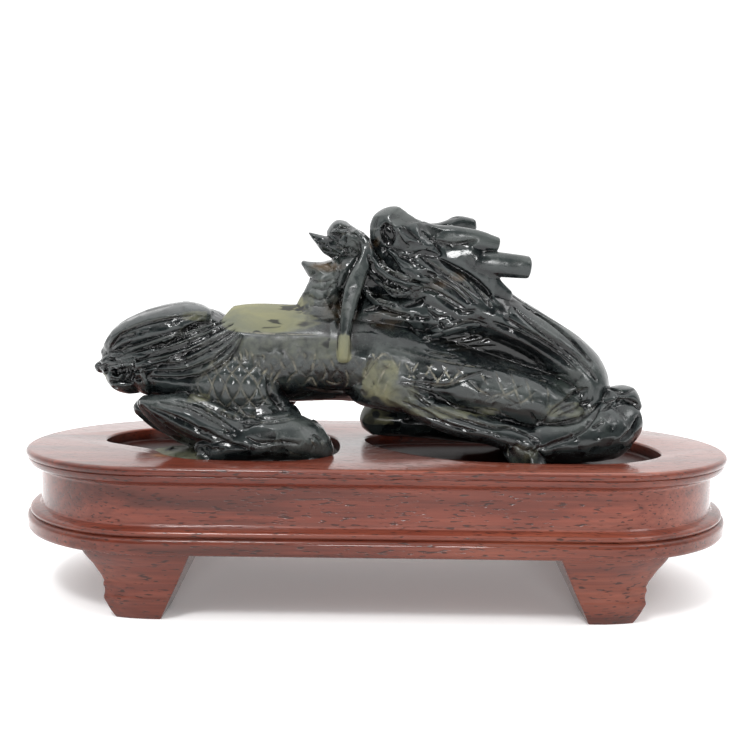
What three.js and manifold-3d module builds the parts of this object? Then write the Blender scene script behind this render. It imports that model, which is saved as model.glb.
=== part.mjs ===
// Recumbent stone dragon on its fitted wooden stand. Millimetres, +Z up, +X along the stand,
// the dragon's near flank towards -Y. The origin is under the middle of the stand on the floor.
import * as THREE from "three";
import { mergeVertices } from "three/addons/utils/BufferGeometryUtils.js";
import Module from "manifold-3d";

const wasm = await Module();
wasm.setup();

// Driving dimensions of the stand
const standLength = 150;
const standDepth = 66;
const standTop = 30.2;
const footHeight = 14;
const waistInset = 2.9;
const pocketDepth = 2.9;
const endSteps = 14;

// Driving dimensions of the dragon
const midY = -5;
const restGap = 0.3;

// Joining and cutting

function closedMesh(geometry) {
  const bare = geometry.clone();
  bare.deleteAttribute("normal");
  bare.deleteAttribute("uv");
  const merged = mergeVertices(bare, 1e-4);
  return new wasm.Manifold(new wasm.Mesh({
    numProp: 3,
    vertProperties: new Float32Array(merged.attributes.position.array),
    triVerts: new Uint32Array(merged.index.array),
  }));
}

function joinAll(solids) {
  return solids.reduce((sum, solid) => sum.add(solid));
}

function toGeometry(solid) {
  const mesh = solid.getMesh();
  const geometry = new THREE.BufferGeometry();
  geometry.setAttribute("position", new THREE.BufferAttribute(mesh.vertProperties, 3));
  geometry.setIndex(new THREE.BufferAttribute(mesh.triVerts, 1));
  return geometry;
}

function slab(minX, maxX, minY, maxY, minZ, maxZ) {
  const box = new THREE.BoxGeometry(maxX - minX, maxY - minY, maxZ - minZ);
  box.translate((minX + maxX) / 2, (minY + maxY) / 2, (minZ + maxZ) / 2);
  return closedMesh(box);
}

// A closed skin over rings of points with a pole at either end
function skin(rings, firstPole, lastPole) {
  const sides = rings[0].length;
  const points = rings.flat().concat([firstPole, lastPole]);
  const faces = [];
  for (let i = 0; i < rings.length - 1; i++) {
    for (let j = 0; j < sides; j++) {
      const k = (j + 1) % sides;
      const a = i * sides + j;
      const b = i * sides + k;
      faces.push(a, b, b + sides, a, b + sides, a + sides);
    }
  }
  const top = (rings.length - 1) * sides;
  const pole = rings.length * sides;
  for (let j = 0; j < sides; j++) {
    const k = (j + 1) % sides;
    faces.push(pole, k, j, pole + 1, top + j, top + k);
  }
  const geometry = new THREE.BufferGeometry();
  geometry.setAttribute("position",
    new THREE.BufferAttribute(new Float32Array(points.flatMap((p) => [p.x, p.y, p.z])), 3));
  geometry.setIndex(faces);
  const solid = closedMesh(geometry);
  if (solid.volume() > 0) return solid;
  geometry.setIndex(faces.map((_, n) => faces[n - (n % 3) + [0, 2, 1][n % 3]]));
  return closedMesh(geometry);
}

// The value of a smooth curve through the stations, every column at once
function along(stations, t) {
  const last = stations.length - 1;
  const s = Math.min(t * last, last - 1e-9);
  const i = Math.floor(s);
  const u = s - i;
  const at = (k) => stations[Math.max(0, Math.min(last, k))];
  return at(i).map((p1, c) => {
    const p0 = i > 0 ? at(i - 1)[c] : 2 * p1 - at(i + 1)[c];
    const p2 = at(i + 1)[c];
    const p3 = i + 2 <= last ? at(i + 2)[c] : 2 * p2 - p1;
    return 0.5 * (2 * p1 + (p2 - p0) * u + (2 * p0 - 5 * p1 + 4 * p2 - p3) * u * u
      + (3 * p1 - p0 - 3 * p2 + p3) * u * u * u);
  });
}

// A limb: oval sections carried along a curve through stations of
// [x, y, z, half depth towards Y, half height across the curve], with round ends.
// Flutes are grooves running lengthwise.
function limb(stations, { sides = 8, rings = 5, flutes = 0, cut = 0, turn = 0, blunt = 1 } = {}) {
  const depthAxis = new THREE.Vector3(0, 1, 0);
  const frames = [];
  for (let i = 0; i <= rings; i++) {
    const t = i / rings;
    const here = along(stations, t);
    const before = along(stations, Math.max(0, t - 0.01));
    const after = along(stations, Math.min(1, t + 0.01));
    const tangent = new THREE.Vector3(after[0] - before[0], after[1] - before[1], after[2] - before[2]);
    tangent.normalize();
    const side = depthAxis.clone().addScaledVector(tangent, -depthAxis.dot(tangent)).normalize();
    const rise = new THREE.Vector3().crossVectors(tangent, side);
    frames.push({ centre: new THREE.Vector3(here[0], here[1], here[2]), tangent, side, rise,
      half: Math.max(here[3], 0.15), high: Math.max(here[4], 0.15) });
  }
  const ringAt = (f, shift, scale) => {
    const ring = [];
    for (let j = 0; j < sides; j++) {
      const angle = 2 * Math.PI * j / sides + turn;
      const groove = 1 - cut * (0.5 - 0.5 * Math.cos(flutes * angle));
      ring.push(f.centre.clone().addScaledVector(f.tangent, shift)
        .addScaledVector(f.side, f.half * scale * groove * Math.cos(angle))
        .addScaledVector(f.rise, f.high * scale * groove * Math.sin(angle)));
    }
    return ring;
  };
  const first = frames[0];
  const last = frames[rings];
  const capIn = blunt * Math.min(first.half, first.high);
  const capOut = blunt * Math.min(last.half, last.high);
  const bend = Math.PI / 4;
  const all = [ringAt(first, -capIn * Math.sin(bend), Math.cos(bend))];
  frames.forEach((f) => all.push(ringAt(f, 0, 1)));
  all.push(ringAt(last, capOut * Math.sin(bend), Math.cos(bend)));
  return skin(all, first.centre.clone().addScaledVector(first.tangent, -capIn),
    last.centre.clone().addScaledVector(last.tangent, capOut));
}

function lump(x, y, z, halfX, halfY, halfZ, tilt = 0, detail = 10) {
  const ball = new THREE.SphereGeometry(1, detail, Math.max(6, Math.round(detail * 0.7)));
  ball.rotateX(Math.PI / 2);
  ball.scale(halfX, halfY, halfZ);
  ball.rotateY(-tilt);
  ball.translate(x, y, z);
  return closedMesh(ball);
}

const farSide = (stations) => stations.map(([x, y, z, a, b]) => [x, 2 * midY - y, z, a, b]);

// The stand: one moulding profile of [inset, height] carried round a long oval

function ovalRing(inset, height) {
  const ring = [];
  const radius = standDepth / 2 - inset;
  const reach = (standLength - standDepth) / 2;
  for (let end = 0; end < 2; end++) {
    for (let i = 0; i <= endSteps; i++) {
      const angle = -Math.PI / 2 + Math.PI * i / endSteps + end * Math.PI;
      const middle = end === 0 ? reach : -reach;
      ring.push(new THREE.Vector3(middle + radius * Math.cos(angle), radius * Math.sin(angle), height));
    }
  }
  return ring;
}

// How far the lower plate hangs below the top of the feet
const plateSink = 0.4;
const standProfile = [
  [0.5, footHeight - plateSink], [0.0, footHeight + 0.4], [0.0, footHeight + 2.0],
    [0.5, footHeight + 2.9],
  [0.7, footHeight + 3.8], [1.7, footHeight + 4.4], [waistInset, footHeight + 4.8],
  [waistInset, 26.2], [1.2, 26.8], [0.5, 27.5], [0.0, 28.6], [0.1, 29.6], [1.0, standTop],
];

function standBlock() {
  const rings = standProfile.map(([inset, height]) => ovalRing(inset, height));
  return skin(rings, new THREE.Vector3(0, 0, footHeight - plateSink), new THREE.Vector3(0, 0, standTop));
}

// A foot is sawn in two elevations: an ogee with a bead outside, a straight slant inside
const footOuterX = -55.9;
const footWide = 21.5;
const footDeep = 17;
const footTip = 8.8;
const footShareX = 0.8;
const footShareY = 0.5;
const footRimInset = 0.6;
const footOverlap = 0.6;
const footOgee = [
  [0.0, footHeight + footOverlap], [0.0, footHeight], [1.6, 12.0], [3.6, 9.7], [5.0, 7.6], [4.9, 6.9],
  [5.3, 5.6], [5.0, 4.2], [6.0, 2.3], [7.0, 0.8], [7.7, 0.0],
];

function footElevation(scale, wide) {
  const shape = new THREE.Shape();
  footOgee.forEach(([inset, height], n) => {
    if (n === 0) shape.moveTo(inset * scale, height);
    else shape.lineTo(inset * scale, height);
  });
  const tipStart = footOgee[footOgee.length - 1][0] * scale;
  shape.lineTo(tipStart + footTip, 0);
  shape.lineTo(wide, footHeight);
  shape.lineTo(wide, footHeight + footOverlap);
  shape.closePath();
  return shape;
}

function standFoot(signX, signY) {
  const lengthways = new THREE.ExtrudeGeometry(footElevation(footShareX, footWide),
    { depth: standDepth / 2, bevelEnabled: false });
  lengthways.rotateX(Math.PI / 2);
  lengthways.translate(footOuterX, 0, 0);
  const across = new THREE.ExtrudeGeometry(footElevation(footShareY, footDeep),
    { depth: standLength / 2, bevelEnabled: false });
  across.rotateX(Math.PI / 2);
  across.rotateZ(Math.PI / 2);
  across.translate(-standLength / 2, footRimInset - standDepth / 2, 0);
  const top = footHeight + footOverlap;
  const rim = skin([ovalRing(footRimInset, 0), ovalRing(footRimInset, top)],
    new THREE.Vector3(0, 0, 0), new THREE.Vector3(0, 0, top));
  const foot = closedMesh(lengthways).intersect(closedMesh(across)).intersect(rim);
  return foot.scale([-signX, -signY, 1]);
}

function pocket(minX, maxX, minY, maxY, round, ease = 0) {
  const shape = new THREE.Shape();
  const corner = round - ease;
  const corners = [[maxX - ease, minY + ease, -90], [maxX - ease, maxY - ease, 0],
    [minX + ease, maxY - ease, 90], [minX + ease, minY + ease, 180]];
  const steps = 5;
  corners.forEach(([x, y, from], n) => {
    const cx = x - Math.sign(x - (minX + maxX) / 2) * corner;
    const cy = y - Math.sign(y - (minY + maxY) / 2) * corner;
    for (let i = 0; i <= steps; i++) {
      const angle = (from + 90 * i / steps) * Math.PI / 180;
      const px = cx + corner * Math.cos(angle);
      const py = cy + corner * Math.sin(angle);
      if (n === 0 && i === 0) shape.moveTo(px, py);
      else shape.lineTo(px, py);
    }
  });
  const geometry = new THREE.ExtrudeGeometry(shape, { depth: pocketDepth + 1, bevelEnabled: false });
  geometry.translate(0, 0, standTop - pocketDepth + ease);
  return closedMesh(geometry);
}

let stand = standBlock();
for (const signX of [-1, 1]) {
  for (const signY of [-1, 1]) stand = stand.add(standFoot(signX, signY));
}
// Two pockets hold the feet: [min x, max x, min y, max y, corner radius]
const pockets = [[-61, -8, -24.6, 15, 15], [-2, 60, -24.2, 15, 16]];
for (const sizes of pockets) stand = stand.subtract(pocket(...sizes));

// The dragon: trunk and neck

const trunk = limb([
  [-47, midY, 45.4, 10, 5.2], [-41, midY, 46.6, 12.5, 8.6], [-29, midY, 49.2, 13, 10.6],
  [-18, midY, 49.8, 12.6, 10.3], [-6, midY, 49.8, 12.6, 10], [6, midY, 47.9, 12.5, 9.3],
  [20, midY, 44, 12.5, 8], [34, midY, 41, 12, 7], [41, midY, 41, 10, 6],
], { sides: 12, rings: 8 });

const neck = limb([
  [42.6, midY, 40.5, 10, 4.5], [43.2, midY, 44.6, 10, 5.6], [39.6, midY, 48.8, 9.5, 6],
  [33.2, midY, 53.2, 9.5, 5.8], [24.6, midY, 57.8, 9.8, 6.4], [14.5, midY, 63.2, 10.4, 9.4],
  [6.5, midY, 68.4, 9.6, 8.6], [3.5, midY, 71.5, 8, 6],
], { sides: 20, rings: 8, flutes: 10, cut: 0.1 });

// Stone left standing behind the hollow and under the head
const web = limb([[12, midY, 54.4, 7, 3.6], [24, midY, 52.4, 7, 4], [36, midY, 47, 7, 3.4]],
  { sides: 6, rings: 3 });
const nape = limb([[-6, midY, 57.6, 8, 4], [4, midY, 59, 9.4, 5], [14, midY, 58, 9.6, 5]],
  { sides: 10, rings: 4 });

const neckHollow = limb([
  [10, -17, 51.6, 6, 0.6], [20, -17.5, 52.4, 8, 2.2], [30, -17.5, 52.2, 9, 3.5],
  [38, -17, 49.6, 8, 2.6], [43, -16, 47, 5, 0.8],
], { sides: 8, rings: 7 });

// The tail: a fluted bud lying over the rump, an upper leaf and the curled root

const tailBud = limb([
  [-54, -7, 47.4, 6, 4], [-48, -8, 48.6, 9, 5.4], [-41, -8, 50.6, 10, 6.2],
  [-35, -8, 53, 8.6, 4.9], [-31.4, -7.5, 54.8, 5, 2.4],
], { sides: 20, rings: 5, flutes: 10, cut: 0.16 });

const tailLeaf = limb([
  [-58, -3, 50.8, 3.5, 1.2], [-52, -2, 54, 6.5, 3], [-44, -1.5, 57, 7.5, 3.2],
  [-38.4, -1.5, 58.4, 6, 2.2],
], { sides: 10, rings: 5 });

const tailRoot = [
  limb([[-54, -6, 47.6, 3.4, 2.4], [-57.5, -6, 46.8, 2.4, 1.6], [-59.6, -6, 45.6, 0.8, 0.7]],
    { sides: 6, rings: 3 }),
  lump(-52.4, -7.5, 44.6, 4.6, 6.2, 3.6, 0.2, 8),
  limb([[-46.6, -15, 50.4, 1, 0.9], [-47.6, -16.2, 47, 1.1, 1], [-46.8, -15.4, 43.4, 1, 0.9]],
    { sides: 5, rings: 3 }),
  limb([[-54.5, -11, 48.6, 1, 0.9], [-51.5, -12.6, 49.4, 1.2, 1.1], [-49.6, -13.6, 47.4, 1.2, 1.1],
    [-51.4, -13, 45.4, 1.1, 1], [-53.4, -12, 46.2, 0.9, 0.8]], { sides: 4, rings: 6 }),
];

// Legs: haunch, shank and foot behind, arm, forearm and paw in front, near and far

const haunch = [[-20.5, -14, 39.6, 3, 2.6], [-25, -14.4, 43, 4.6, 5.8], [-31, -14, 45.4, 5.2, 7.4],
  [-38, -13, 45, 4, 5.6]];
const shank = [[-46.4, -16, 39.4, 3, 1.7], [-40, -17, 38.8, 4.4, 3.1], [-33, -18, 36.6, 5, 3.6],
  [-27, -18, 34.2, 5, 3.6]];
const hindFoot = [[-31.4, -18.4, 31.4, 4.6, 3.4], [-25, -18.2, 33.4, 5.2, 4.4],
  [-18.4, -17.6, 34, 5.4, 4.7],
  [-13, -17, 32.6, 4.8, 3.8], [-10.8, -16.8, 31.2, 3.4, 2.2]];
const farHindFoot = [[-36, 8, 31.6, 5, 3.8], [-28, 8, 31, 5, 3.6], [-21, 7.6, 30, 4, 2.6]];
const farShank = [[-53.4, 6, 35.6, 3.4, 2], [-46, 6.4, 37.4, 5, 4.6], [-34, 7, 36, 5.4, 6]];
const hindToe = [[-34.4, -19.6, 32, 1.8, 1.5], [-33, -20.4, 29.6, 2, 1.9]];
const footSlab = [[-42.6, -13.4, 28.6, 4, 1.6], [-37, -16.4, 28.7, 4.6, 1.8],
  [-32.4, -18.4, 28.4, 4, 1.6]];

const elbow = [[-2, -12, 44.6, 4.5, 5.2], [4, -13.4, 44.4, 5, 6], [10, -14, 44, 4.4, 5]];
const upperArm = [[3, -13, 46.4, 4, 4.6], [17, -14.4, 44.3, 5, 5.1], [29, -15, 41.6, 5, 5.1],
  [38, -14.6, 38.6, 4.6, 3.8]];
const foreArm = [[4.6, -15.4, 41.6, 3, 2.1], [12.6, -17, 38.4, 3.6, 2.9], [23.2, -17.6, 35.2, 3.8, 2.7],
  [33.4, -17, 32.8, 4.4, 3]];
const forePaw = [[33, -15.6, 33.2, 5.6, 4.6], [41, -14.2, 34, 6.4, 5.2], [47, -12.4, 34.8, 6.4, 5.6],
  [50, -11.4, 36.8, 5.2, 4.5]];
const pawKnuckle = [[45.8, -11.6, 38.6, 4, 2.2], [48.8, -11, 41.8, 4.4, 2.2],
  [51.8, -10.8, 42.2, 4.2, 2],
  [53, -10.8, 40.4, 3.6, 1.5]];
const dewClaw = [[26, -18.4, 34, 2, 1.8], [28.4, -19.6, 31, 2.2, 2.4], [31.6, -20, 29, 2.2, 2]];
const farFore = [[-0.2, 6.6, 33.2, 4.6, 4.8], [12, 7.4, 32, 5.4, 4.8], [28, 7.4, 31.6, 5.6, 4.4],
  [42, 5, 33, 6, 5],
  [49, 3, 35, 5, 4.6]];

const legs = [
  limb(haunch, { sides: 10, rings: 4 }), limb(farSide(haunch), { sides: 6, rings: 3 }),
  limb(shank, { sides: 12, rings: 5, flutes: 6, cut: 0.14 }), limb(farShank, { sides: 6, rings: 3 }),
  limb(hindFoot, { sides: 10, rings: 5 }), limb(farHindFoot, { sides: 6, rings: 3 }),
  limb(hindToe, { sides: 6, rings: 2 }), limb(footSlab, { sides: 6, rings: 3 }),
  limb(elbow, { sides: 10, rings: 4 }),
  limb(upperArm, { sides: 10, rings: 5 }), limb(farSide(upperArm), { sides: 6, rings: 3 }),
  limb(foreArm, { sides: 7, rings: 4 }), limb(forePaw, { sides: 10, rings: 4 }),
  limb(pawKnuckle, { sides: 8, rings: 5 }),
  limb(dewClaw, { sides: 6, rings: 4 }), limb(farFore, { sides: 8, rings: 5 }),
];

// The head, turned back over the trunk: brows, snout with open mouth, jaw, beard

const head = [
  lump(2.8, -10.2, 75.4, 4.8, 3.8, 5, 0, 10), lump(2.8, 0.2, 75.4, 4.8, 3.8, 5, 0, 8),
  lump(5.4, midY, 74.6, 5.4, 6, 4.2, 0, 8),
  limb([[4, midY, 71, 7, 5.2], [-1.6, midY, 70.2, 6.4, 3.2], [-5.4, midY, 72.6, 6.2, 3.4],
    [-8.2, midY, 75.3, 5, 2.6]], { sides: 10, rings: 5 }),
  lump(-5.6, -10.6, 73.2, 1.7, 1.6, 2.3, 0.3, 6), lump(-5.6, 0.6, 73.2, 1.7, 1.6, 2.3, 0.3, 6),
  limb([[-7.6, -6, 71.8, 3.6, 2.4], [-10.8, -6, 72.4, 2.8, 1.8], [-13, -6, 73.8, 1.6, 1.1],
    [-14.6, -6, 75, 0.4, 0.3]], { sides: 8, rings: 4 }),
  limb([[2, midY, 66, 8, 6.4], [-7.4, midY, 66.2, 6.6, 5.4]], { sides: 8, rings: 2, blunt: 0.6 }),
  limb([[-5, midY, 65.2, 6, 3.4], [-10, midY, 66.6, 5.4, 2.5], [-13.6, midY, 67.5, 3.8, 1.8],
    [-15.8, midY, 68.7, 1.4, 0.7]], { sides: 8, rings: 4 }),
  limb([[-10, midY, 65.4, 5.6, 4.2], [-11.2, midY, 61.8, 6.4, 4.8], [-11.4, midY, 57.6, 7, 6]],
    { sides: 8, rings: 3 }),
  limb([[-12, -8.4, 65.4, 2, 1.2], [-15, -8.6, 63.6, 1.6, 1.1], [-15.8, -8.6, 60.8, 1.1, 0.7]],
    { sides: 5, rings: 3 }),
  limb([[-2, -12.8, 72.4, 1.2, 1.1], [-3.2, -14, 68, 1.4, 1.2], [-4.6, -15.2, 62.4, 1.5, 1.3],
    [-5.8, -16.4, 57, 1.4, 1.2], [-6.6, -17.4, 52.4, 1.3, 1.1], [-6.9, -17.6, 49.2, 1.2, 1.1]],
      { sides: 5, rings: 5 }),
  lump(8.4, -12.6, 71, 5.2, 2.4, 3.3, -0.35, 8), lump(8.4, 2.6, 71, 5.2, 2.4, 3.3, -0.35, 6),
];

// Antlers: a plate with two blunt tines and an ear below, the far pair set higher

const antlers = [
  limb([[7.4, -10.4, 74.8, 2.4, 2.2], [14, -12, 73, 2.2, 3.6], [19.5, -12, 70.4, 2.1, 4]],
    { sides: 8, rings: 4 }),
  limb([[11, -11.4, 75.2, 1.9, 1.9], [18, -12.4, 73.6, 1.9, 2], [23.7, -12.4, 72.8, 1.5, 1.4]],
    { sides: 7, rings: 3, blunt: 0.4 }),
  limb([[17, -12, 69, 1.9, 2.3], [23, -12.4, 68.8, 2.2, 2.5], [30, -12.6, 68.2, 1.9, 2.3]],
    { sides: 7, rings: 3, blunt: 0.4 }),
  limb([[16, -11, 69, 1.8, 2.2], [22, -11.2, 65.4, 1.9, 1.9], [25.4, -11.2, 63.8, 1, 1]],
    { sides: 6, rings: 3 }),
  limb([[8, 0, 75.6, 2.4, 2.6], [14, 2.4, 77.2, 2, 2], [20.6, 3, 77.9, 1.5, 1.4]],
    { sides: 7, rings: 3, blunt: 0.5 }),
  limb([[11, 1, 72.6, 2.2, 3], [18, 2.2, 71, 1.9, 2.4], [24.6, 2.6, 70, 1.6, 1.8]],
    { sides: 6, rings: 3, blunt: 0.5 }),
];

// The mane: long locks swept back from the mouth and brow, then leaves in rows on the neck

const longLocks = [
  [[-1.6, -12.4, 70.4, 0.8, 0.7], [1.7, -14, 67.4, 1.3, 1.1], [5.2, -15.2, 65, 1.3, 1.2],
    [8.8, -15.6, 64.4, 0.7, 0.5]],
  [[-2.2, -12.6, 68, 0.8, 0.7], [0.3, -14, 65.2, 1.2, 1.1], [3, -15, 63, 1.2, 1.1],
    [5, -15.2, 61, 0.6, 0.5]],
  [[-2.6, -12.2, 64.4, 0.8, 0.7], [-0.6, -13, 62.4, 1.3, 1.1], [3.2, -14, 60.6, 0.7, 0.5]],
  [[2, -13.4, 71, 0.8, 0.7], [5.2, -14.8, 68, 1.3, 1.1], [8.8, -15.2, 66.2, 1.2, 1.1],
    [11.6, -15, 65.2, 0.6, 0.5]],
  [[8, -14, 69.6, 0.9, 0.8], [12, -14.8, 68.2, 1.3, 1.2], [16, -14.8, 65.6, 1.4, 1.3],
    [20, -14.4, 62.2, 1.3, 1.2],
    [23.4, -14, 58.2, 0.6, 0.5]],
  [[9.4, -12.6, 53.8, 1.2, 0.9], [13.4, -13.4, 55.4, 2, 1.6], [17.4, -13.4, 56.4, 2, 1.6],
    [21.8, -13.2, 57, 0.9, 0.7]],
];
const farLocks = [longLocks[3], longLocks[4]];
const leafRows = 2;
const leavesPerRow = 3;
const leafLength = 4.6;
const mane = [];
for (const stations of longLocks) mane.push(limb(stations, { sides: 4, rings: 4, turn: Math.PI / 4 }));
for (const stations of farLocks) mane.push(limb(farSide(stations), { sides: 4, rings: 3 }));
for (let row = 0; row < leafRows; row++) {
  for (let n = 0; n < leavesPerRow; n++) {
    const x = 6.6 + 4.1 * n + 1.6 * row;
    const z = 62.4 - 2.5 * row - 0.7 * n;
    const y = -14.2 + 0.25 * n;
    const leaf = [[x, y + 0.5, z + 0.8, 0.6, 0.5], [x + leafLength / 2, y, z, 1, 1.1],
      [x + leafLength, y + 0.4, z - 1.2, 0.5, 0.3]];
    mane.push(limb(leaf, { sides: 4, rings: 2 }));
  }
}

let dragon = joinAll([trunk, neck]).subtract(neckHollow);
dragon = joinAll([dragon, web, nape, tailBud, tailLeaf, ...tailRoot, ...legs, ...head, ...antlers, ...mane]);
const under = slab(-standLength, standLength, -standDepth, standDepth, -10, standTop + restGap);
const room = joinAll(pockets.map((sizes) => pocket(...sizes, restGap)));
dragon = dragon.subtract(under.subtract(room));

const stone = new THREE.MeshStandardMaterial({ color: 0x2b302e, roughness: 0.35, metalness: 0 });
const wood = new THREE.MeshStandardMaterial({ color: 0x6e2a1c, roughness: 0.4, metalness: 0 });
const group = new THREE.Group();
for (const [name, solid, material] of [["dragon", dragon, stone], ["stand", stand, wood]]) {
  const mesh = new THREE.Mesh(toGeometry(solid), material);
  mesh.name = name;
  group.add(mesh);
}

export default group;
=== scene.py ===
import math

import bpy
import numpy as np
from mathutils import Matrix, Vector
from mathutils.bvhtree import BVHTree


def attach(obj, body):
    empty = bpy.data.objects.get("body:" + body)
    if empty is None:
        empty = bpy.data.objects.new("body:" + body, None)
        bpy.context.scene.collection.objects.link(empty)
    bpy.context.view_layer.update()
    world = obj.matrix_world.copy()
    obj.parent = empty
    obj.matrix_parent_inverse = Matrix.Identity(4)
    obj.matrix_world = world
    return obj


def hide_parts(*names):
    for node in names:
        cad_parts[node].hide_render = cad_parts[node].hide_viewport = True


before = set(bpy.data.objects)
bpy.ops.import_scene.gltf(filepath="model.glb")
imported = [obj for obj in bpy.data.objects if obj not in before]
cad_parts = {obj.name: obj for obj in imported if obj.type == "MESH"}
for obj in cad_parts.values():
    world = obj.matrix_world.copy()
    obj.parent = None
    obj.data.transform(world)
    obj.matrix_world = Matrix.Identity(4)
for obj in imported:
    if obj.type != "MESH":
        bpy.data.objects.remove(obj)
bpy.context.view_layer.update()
mm = 0.001


# Small helpers

def linkedObject(name, mesh):
    obj = bpy.data.objects.new(name, mesh)
    bpy.context.scene.collection.objects.link(obj)
    return obj


def meshFromArrays(name, points, faces):  # faces is a list of arrays, each with one corner count
    corners = np.concatenate([f.ravel() for f in faces]).astype(np.int32)
    counts = np.concatenate([np.full(len(f), f.shape[1]) for f in faces])
    starts = np.concatenate([[0], np.cumsum(counts)[:-1]]).astype(np.int32)
    mesh = bpy.data.meshes.new(name)
    mesh.vertices.add(len(points))
    mesh.vertices.foreach_set("co", np.ascontiguousarray(points, np.float32).ravel())
    mesh.loops.add(len(corners))
    mesh.loops.foreach_set("vertex_index", corners)
    mesh.polygons.add(len(counts))
    mesh.polygons.foreach_set("loop_start", starts)
    mesh.update(calc_edges=True)
    return mesh


def finishedMesh(obj, name):  # the mesh with its modifiers applied, and the object gone
    shown = obj.evaluated_get(bpy.context.evaluated_depsgraph_get())
    mesh = bpy.data.meshes.new_from_object(shown)
    mesh.name = name
    mesh.materials.clear()
    old = obj.data
    bpy.data.objects.remove(obj)
    bpy.data.meshes.remove(old)
    return mesh


def vertexArray(mesh, what="co"):
    values = np.empty(len(mesh.vertices) * 3, np.float32)
    if what == "co":
        mesh.vertices.foreach_get("co", values)
    else:
        mesh.vertex_normals.foreach_get("vector", values)
    return values.reshape(-1, 3).astype(np.float64)


def smoothStep(low, high, x):
    t = np.clip((x - low) / (high - low), 0, 1)
    return t * t * (3 - 2 * t)


def tubeFaces(rows, cols):  # quads of a grid that closes round its columns
    i = np.arange(rows - 1)[:, None] * cols
    j = np.arange(cols)[None, :]
    k = (j + 1) % cols
    return np.stack([i + j, i + k, i + cols + k, i + cols + j], -1).reshape(-1, 4)


def throughStations(stations, t):  # a smooth curve through the rows, every column at once
    s = np.asarray(stations, float)
    s = np.vstack([2 * s[0] - s[1], s, 2 * s[-1] - s[-2]])
    w = np.clip(t, 0, 1) * (len(s) - 3)
    i = np.minimum(w.astype(int), len(s) - 4)
    u = (w - i)[:, None]
    a, b, c, d = s[i], s[i + 1], s[i + 2], s[i + 3]
    return 0.5 * (2 * b + (c - a) * u + (2 * a - 5 * b + 4 * c - d) * u ** 2
                  + (3 * b - a - 3 * c + d) * u ** 3)


leastHalf = 0.12  # no limb is thinner than this anywhere


# A limb: an oval section carried along a curve through [x, y, z, half depth, half height] in mm,
# with round ends; ridges are lengthwise swellings with sharp valleys, square fattens the corners
def limbSurface(stations, ridges=0, cut=0.0, square=2.0, blunt=1.0, pitch=0.4):
    path = np.asarray(stations, float)[:, :3]
    length = np.linalg.norm(np.diff(path, axis=0), axis=1).sum()
    body = throughStations(stations, np.linspace(0, 1, max(10, int(length / pitch))))
    body[:, 3:] = np.maximum(body[:, 3:], leastHalf)
    tangent = np.gradient(body[:, :3], axis=0)
    tangent /= np.linalg.norm(tangent, axis=1, keepdims=True)
    capRows = 8
    bend = np.linspace(0, math.pi / 2, capRows + 1)[1:]
    headCap = blunt * body[0, 3:].min()
    tailCap = blunt * body[-1, 3:].min()
    shift = np.concatenate([-headCap * np.sin(bend[::-1]), np.zeros(len(body)), tailCap * np.sin(bend)])
    scale = np.concatenate([np.cos(bend[::-1]), np.ones(len(body)), np.cos(bend)])
    pick = np.concatenate([np.zeros(capRows, int), np.arange(len(body)), np.full(capRows, len(body) - 1)])
    rows, tangent = body[pick], tangent[pick]
    side = np.array([0, 1.0, 0]) - tangent * tangent[:, 1:2]
    side /= np.linalg.norm(side, axis=1, keepdims=True)
    rise = np.cross(tangent, side)
    cols = max(12, int(2 * math.pi * body[:, 3:].max() / pitch))
    angle = np.linspace(0, 2 * math.pi, cols, endpoint=False)
    across = np.sign(np.cos(angle)) * np.abs(np.cos(angle)) ** (2 / square)
    up = np.sign(np.sin(angle)) * np.abs(np.sin(angle)) ** (2 / square)
    relief = np.ones(cols)
    if ridges:
        relief = 1 - cut * (1 - np.abs(np.sin(ridges * angle / 2))) ** 1.5
    centre = rows[:, :3] + tangent * shift[:, None]
    points = (centre[:, None]
              + side[:, None] * (rows[:, 3] * scale)[:, None, None] * (across * relief)[None, :, None]
              + rise[:, None] * (rows[:, 4] * scale)[:, None, None] * (up * relief)[None, :, None])
    return points.reshape(-1, 3), tubeFaces(len(rows), cols)


# A lump: an egg of three half sizes, tipped about the depth axis
def lumpSurface(centre, half, tilt=0.0, pitch=0.4):
    count = max(14, int(math.pi * max(half) / pitch))
    turn = np.linspace(0, 2 * math.pi, 2 * count, endpoint=False)
    drop = np.linspace(1e-3, math.pi - 1e-3, count)[:, None]
    egg = np.stack([half[0] * np.sin(drop) * np.cos(turn), half[1] * np.sin(drop) * np.sin(turn),
                    half[2] * np.cos(drop) * np.ones_like(turn)], -1).reshape(-1, 3)
    c, s = math.cos(tilt), math.sin(tilt)
    egg = egg @ np.array([[c, 0, -s], [0, 1, 0], [s, 0, c]])
    return egg + np.asarray(centre, float), tubeFaces(count, 2 * count)[:, ::-1]


def joinedSurfaces(name, surfaces):
    points, faces, base = [], [], 0
    for p, f in surfaces:
        points.append(p)
        faces.append(f + base)
        base += len(p)
    return meshFromArrays(name, np.concatenate(points), [np.concatenate(faces)])


# The dragon's forms, in mm, in the frame of the part

midY = -5.0


def farSide(stations):
    return [[x, 2 * midY - y, z, a, b] for x, y, z, a, b in stations]


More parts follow.
